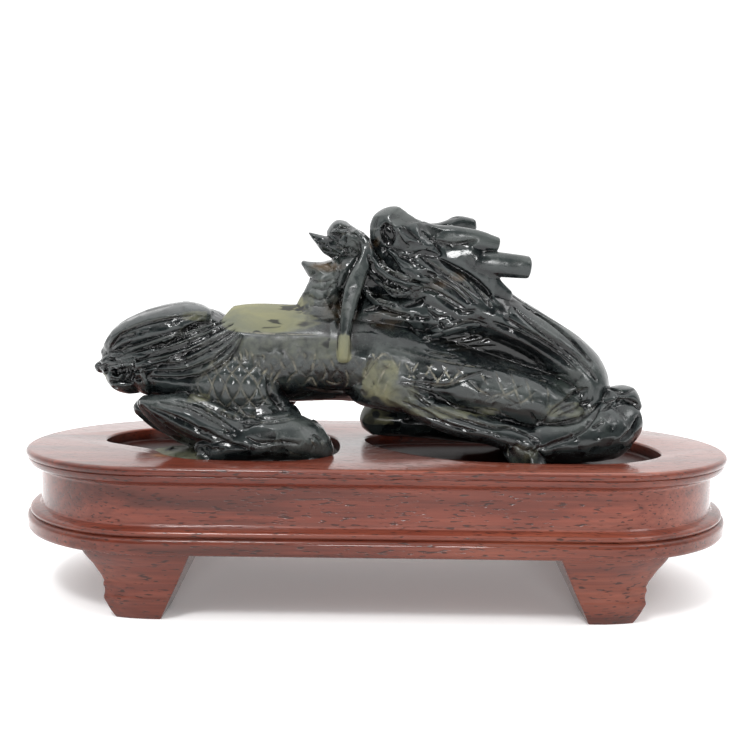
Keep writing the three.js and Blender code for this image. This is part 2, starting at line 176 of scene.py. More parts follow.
dragonBody = {
    "trunk": [[-47, midY, 45.4, 10, 5.2], [-41, midY, 46.6, 12.5, 8.6], [-29, midY, 49.2, 13, 10.6],
              [-18, midY, 49.8, 12.6, 10.3], [-6, midY, 49.8, 12.6, 10], [6, midY, 47.9, 12.5, 9.3],
              [20, midY, 44, 12.5, 8], [34, midY, 41, 12, 7], [41, midY, 41, 10, 6]],
    "neck": [[42.6, midY, 40.5, 10, 4.5], [43.2, midY, 44.6, 10, 5.6], [39.6, midY, 48.8, 9.5, 6],
             [33.2, midY, 53.2, 9.5, 5.8], [24.6, midY, 57.8, 9.8, 6.4], [14.5, midY, 63.2, 10.4, 9.4],
             [6.5, midY, 68.4, 9.6, 8.6], [3.5, midY, 71.5, 8, 6]],
    "web": [[12, midY, 54.4, 7, 3.6], [24, midY, 52.4, 7, 4], [36, midY, 47, 7, 3.4]],
    "nape": [[-6, midY, 57.6, 8, 4], [4, midY, 59, 9.4, 5], [14, midY, 58, 9.6, 5]],
    "hollow": [[13, -19, 52.6, 6, 0.8], [20, -20, 53, 9, 2.2], [27, -20, 52.6, 10.5, 3.4],
               [33, -20, 51, 10.5, 3.2], [38, -19, 48.4, 9, 2.2], [42, -18, 46.4, 6, 0.8]],
}

dragonTail = {
    "bud": [[-54, -7, 47.4, 6, 4], [-48, -8, 48.6, 9, 5.4], [-41, -8, 50.6, 10, 6.2],
            [-35, -8, 53, 8.6, 4.9], [-31.4, -7.5, 54.8, 5, 2.4]],
    "leaf": [[-56.6, -5.4, 50, 4, 1.6], [-52, -6.4, 53, 8, 3.6], [-44, -7, 55.4, 9.4, 4.5],
             [-38, -6.6, 57, 8.4, 3.4], [-35.4, -6, 57.4, 5, 1.6]],
    "nub": [[-54, -6, 47.4, 3.4, 2.6], [-57, -6, 47, 2.6, 1.9], [-58.9, -6, 46.3, 1.5, 1.3]],
    "nubFold": [[-55.6, -8, 49.6, 0.7, 0.6], [-56.2, -9, 47.6, 0.8, 0.7], [-58.6, -8.2, 47, 0.7, 0.6]],
    "ring": [[-46.4, -14.6, 50.6, 0.7, 0.6], [-47.2, -15.8, 47.4, 0.7, 0.6],
             [-46.8, -15.2, 44, 0.7, 0.6]],
    "scroll": [[-54.5, -11, 48.6, 1, 0.9], [-51.5, -12.6, 49.4, 1.2, 1.1],
               [-49.6, -13.6, 47.4, 1.2, 1.1], [-51.4, -13, 45.4, 1.1, 1],
               [-53.4, -12, 46.2, 0.9, 0.8]],
    "rump": ((-52.4, -7.5, 44.6), (4.6, 6.2, 3.6), 0.2),  # lumps: centre, half sizes, tilt
    "knob": ((-54.4, -7.4, 48.8), (2.6, 5, 2.4)),
}

dragonLegs = {
    "haunch": [[-20.5, -14, 39.6, 3, 2.6], [-25, -14.4, 43, 4.6, 5.8], [-31, -14, 45.4, 5.2, 7.4],
               [-38, -13, 45, 4, 5.6]],
    "shank": [[-46.4, -16.4, 40.3, 2.4, 1.3], [-42.5, -17, 39.2, 3.8, 2.9],
              [-38.5, -17.4, 38.2, 4.6, 4], [-34, -17.8, 36.4, 5, 4.5], [-29, -18, 34.6, 5, 4.3],
              [-25, -18, 33.6, 4.8, 4]],
    "shankBack": [[-47.4, -12.6, 39.6, 2.8, 1.7], [-44, -13.4, 37, 3.6, 2.3],
                  [-39.5, -14.2, 34.4, 4.2, 2.5], [-34, -15.4, 32.6, 4.6, 2.5]],
    "hock": [[-29, -13.6, 38.6, 4.4, 3], [-23.6, -14.4, 38.4, 4.6, 2.8], [-18, -14.6, 37.6, 4, 2.4]],
    "hindFoot": [[-31.4, -18.4, 31.4, 4.6, 3.4], [-25, -18.2, 33.4, 5.2, 4.4],
                 [-18.4, -17.6, 34, 5.4, 4.7], [-13, -17, 32.6, 4.8, 3.8],
                 [-10.8, -16.8, 31.2, 3.4, 2.2]],
    "farShank": [[-52.6, 4, 36.6, 3.4, 2.2], [-48, 4.4, 34.6, 4.6, 3.6], [-42, 5.4, 33.6, 5, 4.2],
                 [-34, 7, 34.6, 5.4, 5]],
    "farHindFoot": [[-36, 8, 31.6, 5, 3.8], [-28, 8, 31, 5, 3.6], [-21, 7.6, 30, 4, 2.6]],
    "hindToe": [[-34.4, -19.6, 32, 1.8, 1.5], [-33, -20.4, 29.6, 2, 1.9]],
    "footSlab": [[-44, -11, 28.8, 5, 1.5], [-39, -14, 29, 6, 1.7], [-33, -17.5, 28.8, 5, 1.7]],
    "elbow": [[-2, -12, 44.6, 4.5, 5.2], [4, -13.4, 44.4, 5, 6], [10, -14, 44, 4.4, 5]],
    "upperArm": [[3, -13, 46.4, 4, 4.6], [17, -14.4, 44.3, 5, 5.1], [29, -15, 41.6, 5, 5.1],
                 [38, -14.6, 38.6, 4.6, 3.8]],
    "foreArm": [[4.6, -15.4, 41.6, 3, 2.1], [12.6, -17, 38.4, 3.6, 2.9], [23.2, -17.6, 35.2, 3.8, 2.7],
                [33.4, -17, 32.8, 4.4, 3]],
    "forePaw": [[33, -15.6, 33.2, 5.6, 4.6], [41, -14.2, 34, 6.4, 5.2], [47, -12.4, 35.3, 6.5, 6.2],
                [49.7, -11.6, 36.6, 5.4, 5]],
    "pawKnuckle": [[45.8, -11.6, 38.6, 4, 2.2], [48.8, -11, 41.8, 4.4, 2.2],
                   [51.8, -10.8, 42.2, 4.2, 2], [53, -10.8, 40.4, 3.6, 1.5]],
    "dewClaw": [[26, -18.4, 34, 2, 1.8], [28.4, -19.6, 31, 2.2, 2.4], [31.6, -20, 29, 2.2, 2]],
    "farFore": [[-0.2, 6.6, 34.4, 4.6, 3.8], [12, 7.4, 33.8, 5.4, 3.9], [28, 7.4, 32.4, 5.6, 4],
                [42, 5, 33, 6, 5], [49, 3, 35, 5, 4.6]],
    "farKnuckle": [[45, 1.4, 36.6, 3.6, 2], [47.8, 1.6, 39.2, 4, 2.1], [50.4, 1.6, 39.4, 3.8, 1.9],
                   [51.6, 1.6, 38, 3.2, 1.4]],
}

dragonHead = {
    "snout": [[4, midY, 71, 7, 5.2], [-1.6, midY, 70.2, 6.4, 3.2], [-5.4, midY, 72.6, 6.2, 3.4],
              [-8.2, midY, 75.3, 5, 2.6]],
    "lip": [[-7.6, -6, 71.8, 3.6, 2.4], [-10.8, -6, 72.4, 2.8, 1.8], [-13, -6, 73.8, 1.6, 1.1],
            [-14.6, -6, 75, 0.4, 0.3]],
    "muzzle": [[2, midY, 66, 8, 6.4], [-7.4, midY, 66.2, 6.6, 5.4]],
    "jaw": [[-5, midY, 65.2, 6, 3.4], [-10, midY, 66.6, 5.4, 2.5], [-13.6, midY, 67.5, 3.8, 1.8],
            [-15.8, midY, 68.7, 1.4, 0.7]],
    "beard": [[-10, midY, 65.4, 5.6, 4.2], [-11.2, midY, 61.8, 6.4, 4.8], [-12, midY, 57.6, 7, 6.2]],
    "whisker": [[-4.8, -10.8, 74.8, 1.7, 0.8], [-2.8, -11.6, 72.2, 2.1, 1],
                [-2.7, -12.4, 69.4, 2.5, 1.3], [-4.8, -13.4, 64.6, 2.9, 1.6], [-6, -14.2, 59.8, 3, 1.5],
                [-6.6, -15.2, 55, 3, 1.1], [-6.8, -16, 51.6, 2.8, 1.2], [-6.9, -16.4, 49.4, 2.3, 1.1]],
    "cheekLeaf": [[1.6, -10.4, 75.2, 3.6, 4.4], [4.6, -11.4, 74.6, 3.7, 4.3],
                  [7.6, -12.3, 73.2, 3.1, 3.3], [10.4, -12.9, 71.4, 2.1, 1.9],
                  [12.6, -13.2, 70, 0.7, 0.5]],
    "brows": [((2.6, y, 75.6), (4.6, 3.9, 4.7)) for y in (-10.2, 0.2)],
    "nostrils": [((-5.4, y, 73.3), (1.7, 1.6, 2.3), 0.3) for y in (-10.6, 0.6)],
    "crown": [((5.4, midY, 74.6), (5.4, 6, 4.2))],
}

dragonAntlers = {
    "hornPlate": [[9, -10.8, 75, 2.2, 2.2], [12.4, -11.8, 72.8, 2.2, 3.4],
                  [16.2, -12.2, 70.2, 2.2, 4.6], [20, -12.2, 67, 2.1, 4], [23, -12.2, 64.2, 1.9, 2.4],
                  [26, -12, 62.8, 1.2, 1.2]],
    "upperTine": [[10.4, -11, 75, 1.9, 1.6], [14.4, -12.2, 74.4, 2, 2], [19.2, -12.6, 73.6, 2, 2.1],
                  [23.7, -12.4, 72.8, 1.6, 1.5]],
    "lowerTine": [[17, -12, 69, 1.9, 2.3], [23, -12.6, 68.8, 2.3, 2.5], [30, -12.8, 68.2, 2, 2.3]],
    "farUpper": [[8, 0, 75.6, 2.4, 2.6], [13, 2.2, 76.5, 2, 1.7], [17, 2.8, 77.5, 2, 2.2],
                 [20.6, 3, 77.7, 1.6, 1.5]],
    "farLower": [[11, 1, 72.6, 2.2, 3], [18, 2.2, 71, 1.9, 2.4], [24.6, 2.6, 70, 1.6, 1.8]],
}

dragonMane = {
    "bright": [[-2, -12.4, 71, 1, 1], [0.2, -13.8, 67.5, 1.5, 1.3], [4.6, -15, 65, 1.5, 1.5],
               [8.4, -15.2, 63.9, 0.7, 0.5]],
    "second": [[-1.6, -12.8, 67, 0.9, 0.8], [2.2, -14.2, 63.6, 1.4, 1.1], [5, -14.8, 62.6, 1.2, 0.9],
               [6.8, -14.8, 63.2, 0.5, 0.4]],
    "third": [[-3, -12.4, 63.2, 0.9, 0.8], [0.3, -13.4, 60.6, 1.3, 1], [3.6, -13.8, 60.6, 0.6, 0.5]],
    "upper": [[2, -13.4, 71, 0.8, 0.7], [5.2, -14.6, 68, 1.3, 1.1], [8.8, -15, 66.2, 1.2, 1.1],
              [11.6, -14.8, 65.2, 0.6, 0.5]],
    "band": [[5, -12.6, 70, 1.8, 1.6], [10.2, -13.2, 66.8, 2.2, 2.4], [15.3, -13.4, 64.6, 2.2, 3],
             [20, -13.2, 61.2, 2, 2.6], [23.6, -12.8, 57.4, 1.2, 1]],
    "low": [[9.4, -12.6, 53.8, 1.2, 0.9], [13.4, -13.4, 55.4, 2, 1.6], [17.4, -13.4, 56.4, 2, 1.6],
            [21.8, -13.2, 57, 0.9, 0.7]],
}


def dragonSurfaces():
    body, tail, legs, head, antler = dragonBody, dragonTail, dragonLegs, dragonHead, dragonAntlers
    made = [limbSurface(body["trunk"]), limbSurface(body["neck"]),
            limbSurface(body["web"]), limbSurface(body["nape"])]
    made += [limbSurface(tail["bud"], ridges=18, cut=0.14), limbSurface(tail["leaf"], ridges=6, cut=0.06),
             limbSurface(tail["nub"]), limbSurface(tail["nubFold"]), limbSurface(tail["ring"]),
             limbSurface(tail["scroll"]), lumpSurface(*tail["rump"]), lumpSurface(*tail["knob"])]
    made += [limbSurface(legs[n]) for n in ("haunch", "hock", "shankBack", "hindFoot", "farShank",
                                            "farHindFoot", "hindToe", "footSlab", "elbow", "upperArm",
                                            "foreArm", "forePaw", "pawKnuckle", "dewClaw", "farFore",
                                            "farKnuckle")]
    made += [limbSurface(legs["shank"]), limbSurface(farSide(legs["haunch"])),
             limbSurface(farSide(legs["upperArm"])), limbSurface(farSide(legs["dewClaw"])),
             limbSurface(farSide(legs["hindToe"]))]
    made += [limbSurface(head[n]) for n in ("snout", "lip", "jaw", "beard")]
    made += [limbSurface(leaf, square=1.6) for leaf in (head["cheekLeaf"], farSide(head["cheekLeaf"]))]
    made += [limbSurface(head["muzzle"], blunt=0.6), limbSurface(head["whisker"], square=5)]
    made += [lumpSurface(*lump) for lump in head["brows"] + head["nostrils"] + head["crown"]]
    made += [limbSurface(antler["hornPlate"], square=3.6)]
    made += [limbSurface(antler[n], blunt=0.4, square=2.6) for n in ("upperTine", "lowerTine", "farUpper",
                                                                     "farLower")]
    for name, lock in dragonMane.items():
        style = {"ridges": 12, "cut": 0.12} if name == "band" else {"square": 1.3}
        made += [limbSurface(lock, **style), limbSurface(farSide(lock), **style)]
    return made


# Cuts in the carving: each stroke is a line of [x, z] in mm that is laid on the near side of the stone,
# given as half width, depth, share of dust, lean, and the lines; a lean below 0 eases the wall on the
# right of the run

dragonStrokes = {
    "tailGrooves": (0.75, 0.9, 0.15, -0.7, [
        [[-55, 50.6], [-51.9, 53.8], [-47, 56.1], [-41.4, 57.2], [-37.2, 57.9]],
        [[-53.2, 50.4], [-47, 51.5], [-40.4, 54.2], [-36.3, 56.2], [-31.8, 57]],
        [[-47, 50.9], [-42.3, 52.2], [-36.7, 55], [-31, 56.7]],
        [[-46, 49.6], [-40.9, 51.3], [-35.2, 53.9], [-29.3, 56.3]],
        [[-45.6, 48.8], [-39.3, 49.9], [-32.7, 53.1], [-28.7, 55.2]],
        [[-45.2, 47.8], [-38.7, 48.7], [-32.6, 51.8], [-28.2, 54.8]],
        [[-45, 46.6], [-37.9, 47.2], [-31.7, 50.2], [-27.7, 54]],
        [[-45.7, 45.3], [-38, 45.5], [-32.4, 47.5], [-28.8, 50.7], [-27.3, 53.6]],
    ]),
    "tailFine": (0.45, 0.35, 0.1, -0.5, [
        [[-54.7, 51.5], [-50.9, 53.4], [-47.2, 55]], [[-54.4, 50.2], [-49.9, 51], [-46.3, 50.9]],
        [[-45.4, 47.8], [-40.7, 48.9], [-36.1, 50.6], [-30.8, 53]],
        [[-45.3, 46.4], [-40.7, 47.2], [-35.3, 48.7], [-30.7, 51]],
    ]),
    "tailRoot": (0.75, 1.2, 0, 0, [
        [[-55.3, 48.7], [-52.3, 48.4], [-49.6, 48.9], [-47.5, 48.6]],
        [[-54.3, 46.7], [-52.4, 46.1], [-49.9, 46.6], [-47.8, 46.1]],
        [[-54.8, 44.6], [-52.5, 44], [-50.3, 43.8]], [[-51.7, 47.9], [-51.4, 46.2], [-52, 44.4]],
        [[-49.3, 48.5], [-49.1, 46.6], [-50.3, 44.4]], [[-58.5, 47.3], [-55.9, 46.6], [-56.3, 45.4]],
    ]),
    "haunchEdge": (0.9, 0.9, 0.05, 0, [
        [[-38.3, 42.3], [-34.2, 40.8], [-29.6, 38.6], [-26.7, 37.6]],
        [[-22.1, 45.8], [-21.4, 42.5], [-19.9, 40.1], [-18.2, 38.9]],
    ]),
    "shank": (0.65, 0.55, 0.1, -0.6, [
        [[-44.9, 39.9], [-39.8, 38.3], [-35.1, 36.2], [-30.2, 33.6]],
        [[-42.9, 40.8], [-37.3, 39.9], [-32.5, 37.8], [-28.5, 35.3]],
        [[-43.8, 38.3], [-40.2, 35.9], [-36.3, 34.1], [-32.2, 33.2]],
        [[-40.2, 41.2], [-35.5, 40.3], [-31.3, 38.3], [-27.6, 35.8]],
        [[-34.4, 36.4], [-29.9, 33.8], [-25.2, 32.4]],
    ]),
    "foot": (0.45, 0.45, 0.35, -0.4, [
        [[-27.1, 38], [-21.7, 38], [-16.8, 38.5]], [[-26.8, 37.2], [-21.3, 37.3], [-15.6, 37.9]],
        [[-25.3, 34.6], [-22.6, 33.4], [-18.8, 33.7], [-15.3, 33.2]],
        [[-17.9, 32], [-15.7, 30.9], [-13.1, 30.7]], [[-13.2, 34.1], [-12.3, 32.9], [-12.7, 31.4]],
        [[-12.5, 34.9], [-11, 33.7], [-10.5, 31.7]], [[-33.3, 32.5], [-31.8, 32], [-29.5, 32.1]],
    ]),
    "tailScales": (0.35, 0.22, 0.6, 0, [
        [[-29.4, 50.9], [-28.5, 49.9], [-28.2, 48.5]], [[-28, 51.2], [-27.2, 50.1], [-27, 48.5]],
        [[-26.6, 51.6], [-25.9, 50.3], [-25.8, 48.6]], [[-25.4, 50.8], [-24.7, 49.8], [-24.7, 48.1]],
        [[-24.1, 50.1], [-23.6, 49.1], [-23.6, 47.6]],
    ]),
    "flankMarks": (0.4, 0.3, 1, 0, [
        [[-19.7, 49.6], [-18.9, 47.9], [-18.5, 47]], [[-17.5, 50.1], [-16.7, 48.6], [-16.1, 46.5]],
        [[-14.6, 50.7], [-14.4, 49.6]], [[-12.5, 50.7], [-12.8, 48.6], [-13.5, 46]],
        [[-14.9, 44], [-13.3, 45.6], [-12.3, 43.6]], [[-22.9, 50.3], [-22.4, 49]],
        [[-21.5, 48.7], [-21.1, 46.9], [-21.5, 45.5]], [[-11, 48.8], [-10.3, 46.9], [-11.1, 45.2]],
        [[-9.4, 49.5], [-8.8, 47.7]], [[-10.5, 45.2], [-9.3, 44.5], [-7.7, 44.5], [-6.3, 45.5]],
        [[-6.6, 47.7], [-5.9, 45.3], [-6.5, 43.7]], [[-18.3, 44.3], [-17.3, 45.8], [-15.9, 47]],
        [[-21.1, 44.5], [-20.1, 45.9], [-19.3, 47.3]], [[-23.1, 46.1], [-21.9, 47.5]],
        [[-2.9, 45], [-1.3, 47.9], [1, 50.6], [3.1, 48.8]], [[0.1, 44.9], [1.2, 47.2], [2.8, 49]],
    ]),
    "belly": (0.7, 0.5, 0.1, 0.6, [
        [[-14.4, 43.6], [-10.4, 42.5], [-4.9, 42.7]], [[-18.4, 40.9], [-16.7, 40.8], [-13.1, 42.5]],
    ]),
    "spine": (0.3, 0.12, 0.8, 0, [
        [[-28.3, 54.7], [-20.3, 54.3], [-12, 54.3]],
    ]),
    "shoulderLine": (0.4, 0.3, 0.7, 0.5, [
        [[2.2, 51.8], [9.3, 50.2], [15.8, 48.8], [23.1, 48], [30.2, 47.1], [34.6, 45.5]],
    ]),
    "shoulderLow": (0.5, 0.35, 0.4, -0.4, [
        [[4.4, 45.2], [8.6, 45.1], [13.6, 44.7], [17.9, 46.8], [21.2, 47.6]],
    ]),
    "shoulderCross": (0.3, 0.2, 1, 0, [
        [[5.3, 49.1], [7.5, 45.6]], [[8.2, 49.1], [6, 45.9]], [[9.6, 48.8], [12.1, 45]],
        [[10.7, 48.7], [8.9, 45.6]], [[12.5, 48.7], [14.4, 45.8]], [[13.8, 48.5], [11.6, 45]],
        [[15.4, 48.4], [17, 46.7]], [[17.1, 48.4], [13.9, 44.8]],
    ]),
    "shoulderPale": (0.3, 0.18, 0.7, 0, [
        [[-0.7, 50.5], [-2.1, 47.9], [-3, 45.3]], [[-1.2, 50.8], [-0.5, 49.4]],
        [[2.4, 50.5], [3.6, 48.2]], [[4.6, 49.5], [3.5, 46.3]], [[2.1, 45.5], [1, 42.5]],
    ]),
    "armCross": (0.35, 0.22, 0.5, 0, [
        [[23.4, 47.5], [24.1, 45.2], [25.2, 42.4]], [[26.5, 47.5], [27.1, 44.2], [28.4, 40.6]],
        [[20.1, 47.5], [21.6, 45]], [[29.4, 46.2], [30.5, 41.7]], [[33.7, 44.7], [34, 40.7]],
        [[32, 45.7], [34.5, 45.2]], [[21.1, 41.6], [23.9, 43.1], [26.4, 41.7], [28.3, 40.2]],
        [[17.8, 45.8], [20.3, 43.7], [22.9, 42.3]], [[22.2, 41.6], [25.3, 43.1], [28.6, 44.9]],
        [[25.8, 40.6], [28.6, 41.7], [31.2, 43.8]],
    ]),
    "armEdge": (0.6, 0.75, 0.15, -0.7, [
        [[5, 44.8], [10.8, 43], [16.6, 40.1], [23.1, 39.6], [29.1, 37], [32.2, 36.9]],
        [[6.1, 43.7], [10.7, 40.7], [15.7, 38.7], [22.1, 37], [26.6, 36.6], [31.8, 34.3]],
        [[5, 41.3], [9.3, 39.7], [13.6, 37.3], [19.3, 36]],
    ]),
    "wrist": (0.6, 0.7, 0.3, -0.5, [
        [[30.3, 39.5], [32.5, 37.5], [35.2, 40.6], [39.3, 43], [42.6, 44.2]],
        [[32.7, 37.2], [36.8, 37.6], [41.8, 39.1], [45.2, 41.1]],
        [[33.1, 38], [36.3, 40.3], [39.7, 41.5]], [[35.6, 38.8], [39, 40.2], [43.1, 41.6]],
    ]),
    "neckLines": (0.8, 0.9, 0.05, -0.7, [
        [[27.5, 60.2], [32.5, 56.2], [37.5, 52.6], [41.6, 49.3], [44.6, 45.7]],
        [[29.7, 60.6], [35.1, 57.6], [39.7, 54], [43.6, 49.3]],
        [[23.2, 57.2], [30.7, 54.4], [36.3, 51.1], [40, 47.9]],
        [[25.3, 58.3], [31.3, 54.9], [37, 51.7], [40.7, 48.6]],
    ]),
    "hollowEdge": (0.6, 0.5, 0.1, 0.6, [
        [[16.2, 52.9], [23.6, 49.3], [31, 46.9], [38.4, 46.6]],
    ]),
    "maneSweep": (0.6, 0.4, 0.1, -0.6, [
        [[8.6, 53.3], [13.6, 55.9], [18, 57.4], [21.8, 56.7]],
        [[9.3, 52.8], [15.2, 54.5], [20.4, 56]], [[10.8, 52.4], [16.9, 53.7], [22, 55.2]],
        [[12.3, 52.1], [18.4, 52.7], [23.5, 54.2]], [[13.8, 51.4], [19.3, 51.8], [24.4, 52.3]],
        [[9.3, 51.4], [13, 50.6], [15.9, 50.2]],
    ]),
    "paw": (0.55, 0.7, 0.05, -0.6, [
        [[45.9, 41.2], [49.2, 42], [52.8, 40.9]], [[45, 39.8], [47.7, 41.3]],
        [[42.4, 36.7], [45, 38]], [[47.8, 43.9], [49.4, 43.5], [52.4, 43.9]],
        [[48.2, 34.2], [50.7, 35.8], [52.6, 38.5]],
        [[44.8, 40.3], [42.7, 37.9], [39, 35.2], [30.6, 32.1]],
    ]),
    "clawLines": (0.4, 0.3, 0.2, 0, [
        [[25.4, 33.6], [26.1, 30.5]], [[32.1, 33.7], [30.4, 31.2]],
        [[27.2, 33.2], [29.3, 32.2], [31.1, 33.3]],
    ]),
    "eyeGroove": (1.2, 1.4, 0, -0.4, [
        [[0.9, 71.9], [2.9, 69.5], [5.7, 67.9], [8.5, 66.9], [11.5, 66.4]],
    ]),
    "cheekEdge": (0.6, 0.6, 0, -0.7, [
        [[3.9, 70.3], [6.1, 70.2], [8.1, 71], [10.1, 71], [12.2, 70.4]],
        [[7.5, 70.8], [9.7, 70.8], [12, 70.2]],
    ]),
    "cheekFacet": (0.6, 0.35, 0.05, -0.6, [
        [[4.4, 76.2], [6.4, 74.6], [8.5, 72.5]], [[3.5, 75], [4.5, 73.1], [6.1, 71.9]],
    ]),
    "browLines": (0.25, 0.15, 0.2, 0, [
        [[-0.8, 77.6], [-1.1, 75.5], [-0.9, 73.7]], [[-0.2, 78.2], [-0.7, 76.3], [-0.5, 74.3]],
    ]),
    "locks": (0.6, 1, 0.1, -0.7, [
        [[-2.1, 70.2], [-0.6, 66.9], [2.6, 64.7], [6.2, 63.4]],
        [[-1.1, 71.7], [1, 68.3], [4.6, 66.1], [8.2, 65]],
        [[-1.8, 66.5], [0.2, 64.7], [3.4, 63.3], [5.2, 62.8]],
        [[-2.8, 63.1], [-0.2, 61.5], [3.1, 60.3]], [[-2.6, 63.5], [-0.6, 62.3], [1.9, 61.3]],
        [[-3, 59.2], [0.3, 59.9], [3.9, 58.7], [6.3, 58.4]], [[-0.6, 65.5], [1, 63.5], [3.8, 62.3]],
    ]),
    "bandLines": (0.55, 0.7, 0.2, -0.7, [
        [[8.2, 70.4], [11, 68.4], [14.1, 66.4], [17.4, 64.5], [20.7, 61.8]],
        [[9.8, 69.2], [12.9, 66.4], [16.2, 64.1], [19.5, 60.9]],
        [[7.7, 66.3], [11.4, 65.6], [15.4, 63.3], [18.3, 60.9]],
        [[6.2, 63.9], [10.2, 63.6], [14.2, 61.7], [17.5, 59.7]],
        [[18.2, 65.3], [20.7, 63], [22.8, 60.2]],
        [[12.2, 69.6], [16.2, 67.1], [19.5, 64.5], [22.4, 61.4]],
    ]),
    "leafMarks": (0.5, 0.8, 0, -0.8, [
        [[5.1, 60.2], [7.3, 61], [9.3, 62]],
        [[10, 59.8], [11.3, 58.6], [12.1, 58.2], [13.8, 58.5]],
        [[7.3, 58.6], [8.1, 58], [9.3, 57.8], [10.4, 58]], [[4.3, 58.1], [5.9, 58], [7.2, 57.6]],
        [[5.5, 57], [6.8, 55.8], [8.4, 54.2]],
        [[8.9, 56.6], [10, 55.5], [10.8, 55], [12.1, 55.1], [13.2, 55.6]],
        [[12.4, 57], [13.2, 56.3], [14.2, 56.4], [15.4, 56.9]],
        [[11.5, 62.4], [13.3, 61.3], [15.3, 60.1], [17.4, 59.3], [19.4, 59.7]],
    ]),
    "plateEdge": (0.65, 1.2, 0, -0.7, [
        [[12.3, 69.7], [14.7, 68.5], [17.2, 67.2], [19.9, 65.4], [22.1, 63.3], [23.2, 61.5]],
    ]),
    "cheekTop": (0.5, 0.6, 0, 0.7, [
        [[8.3, 75.2], [11, 72.6], [12.3, 70.5]],
    ]),
    "hornGroove": (0.7, 0.7, 0.05, -0.5, [
        [[9.7, 73.9], [12.5, 73], [15.7, 72.7], [18.9, 73.5]],
        [[14.1, 72.6], [16.9, 72.9], [19.3, 73.5]],
    ]),
    "lipRings": (0.35, 0.3, 0.4, -0.5, [
        [[-13.7, 74.6], [-12.8, 73.3], [-12.3, 72.9]], [[-12.6, 73.9], [-11.7, 72.5], [-11.3, 72]],
        [[-11.3, 73.1], [-10.4, 71.8], [-10, 71.2]],
    ]),
    "strapLeft": (0.6, 0.9, 0, -0.8, [
        [[-4, 70.4], [-6.7, 65.1], [-7.8, 59.8], [-7.6, 54.7]],
    ]),
    "strapRight": (0.6, 0.9, 0, 0.8, [
        [[-1.7, 68.6], [-3.3, 64.2], [-4.4, 59.8], [-5.8, 54.7]],
    ]),
    "snoutLines": (0.5, 0.55, 0.2, -0.6, [
        [[-9.8, 76.2], [-8.2, 76.5], [-6.1, 76]], [[-10.3, 75], [-8.5, 74.5], [-6.4, 74.8]],
        [[-6.5, 75.3], [-4.8, 74.3], [-3.1, 72.3]], [[-8.9, 72], [-6.4, 71.6], [-4.4, 70.8]],
        [[-13.5, 68.4], [-10.9, 67.5], [-8.9, 67.9]], [[-14.8, 65.8], [-12.1, 65], [-9.2, 65.5]],
        [[-13.8, 63.8], [-11.2, 63.4], [-8.8, 64.7]], [[-14.6, 62.1], [-12, 61.3], [-9.2, 62.2]],
        [[-8.5, 70.4], [-8, 67.9], [-8.8, 65.1]], [[-10.9, 65], [-10.4, 62.6], [-11.2, 60.5]],
    ]),
}


# Lines of [x, y] laid on the stone from above: the strands along the neck and the leaves of the tail
dragonTopStrokes = {
    "neckStrands": (0.7, 0.6, 0.05, 0, [
        [[10, -9.4], [18, -10], [28, -9.6], [38, -9]], [[8, -5], [18, -5.4], [28, -5], [40, -4.6]],
        [[10, -0.6], [18, 0], [28, -0.4], [38, -1]],
    ]),
    "saddleEnd": (2, 2, 0, 0, [
        [[-32.6, -13], [-32.4, -5], [-32.6, 3]],
    ]),
    "tailPanels": (0.6, 0.5, 0.05, 0, [
        [[-55, -4.4], [-46, -2.4], [-37, -3.4]], [[-55, -6], [-46, -6.6], [-37, -6]],
        [[-54, -2.6], [-46, 1.6], [-38, 0]],
    ]),
}


castAside, castAbove = 60, 100  # where the lines are laid from, well clear of the stone


# Points where the line meets the stone: side -1 is the near side, 1 the far side, 0 from above
def strokeSamples(tree, line, side, step=0.15):
    rough = np.asarray(line, float)
    length = np.linalg.norm(np.diff(rough, axis=0), axis=1).sum()
    path = throughStations(rough, np.linspace(0, 1, max(6, int(length / step))))
    if side == 0:
        hits = [tree.ray_cast(Vector((x, y, castAbove)), Vector((0, 0, -1)))[0] for x, y in path]
    else:
        hits = [tree.ray_cast(Vector((x, castAside * side, z)), Vector((0, -side, 0)))[0] for x, z in path]
    return np.array([h[:] for h in hits if h is not None])


# A stroke's cut: a V that is full at the line and gone at its width, tapering to both ends, one wall
# eased by the lean
def strokeCut(points, samples, halfWidth, lean):
    wide = halfWidth * (1 + 1.5 * abs(lean))
    low, high = samples.min(0) - wide, samples.max(0) + wide
    near = np.nonzero(((points > low) & (points < high)).all(1))[0]
    cut = np.zeros(len(points))
    if len(near) == 0:
        return cut
    away = np.linalg.norm(points[near][:, None] - samples[None], axis=2)
    which = away.argmin(1)
    t = which / max(1, len(samples) - 1)
    taper = 0.3 + 0.7 * np.sqrt(np.clip(np.sin(math.pi * t), 0, 1))
    run = np.gradient(samples, axis=0)[which]
    off = points[near] - samples[which]
    leftward = run[:, 0] * off[:, 2] - run[:, 2] * off[:, 0]
    reach = np.where(leftward * lean > 0, wide, halfWidth * (1 - 0.5 * abs(lean))) * taper
    cut[near] = np.clip(1 - away.min(1) / reach, 0, 1) * taper
    return cut


# Pits: hollows between the curls and under the leaf tips on the near side, cut in and also darkened with
# painted shade, [x, z, half x, half z, depth]
dragonPits = [[-56.0, 46.9, 0.7, 0.9, 1.0], [-53.5, 45.8, 1.3, 1.0, 1.4], [-51.3, 46.3, 1.4, 1.3, 1.6],
              [-54.0, 43.8, 1.4, 0.5, 1.0], [-51.6, 44.2, 1.0, 0.8, 1.2], [-56.2, 42.7, 0.8, 0.4, 0.7],
              [-54.2, 42.6, 0.9, 0.4, 0.7], [-52.4, 48.2, 1.2, 0.4, 0.8], [-49.4, 47.2, 0.8, 0.6, 1.0],
              [-48.6, 44.6, 0.9, 0.7, 1.0], [-0.9, 73.0, 0.7, 0.6, 0.5]]


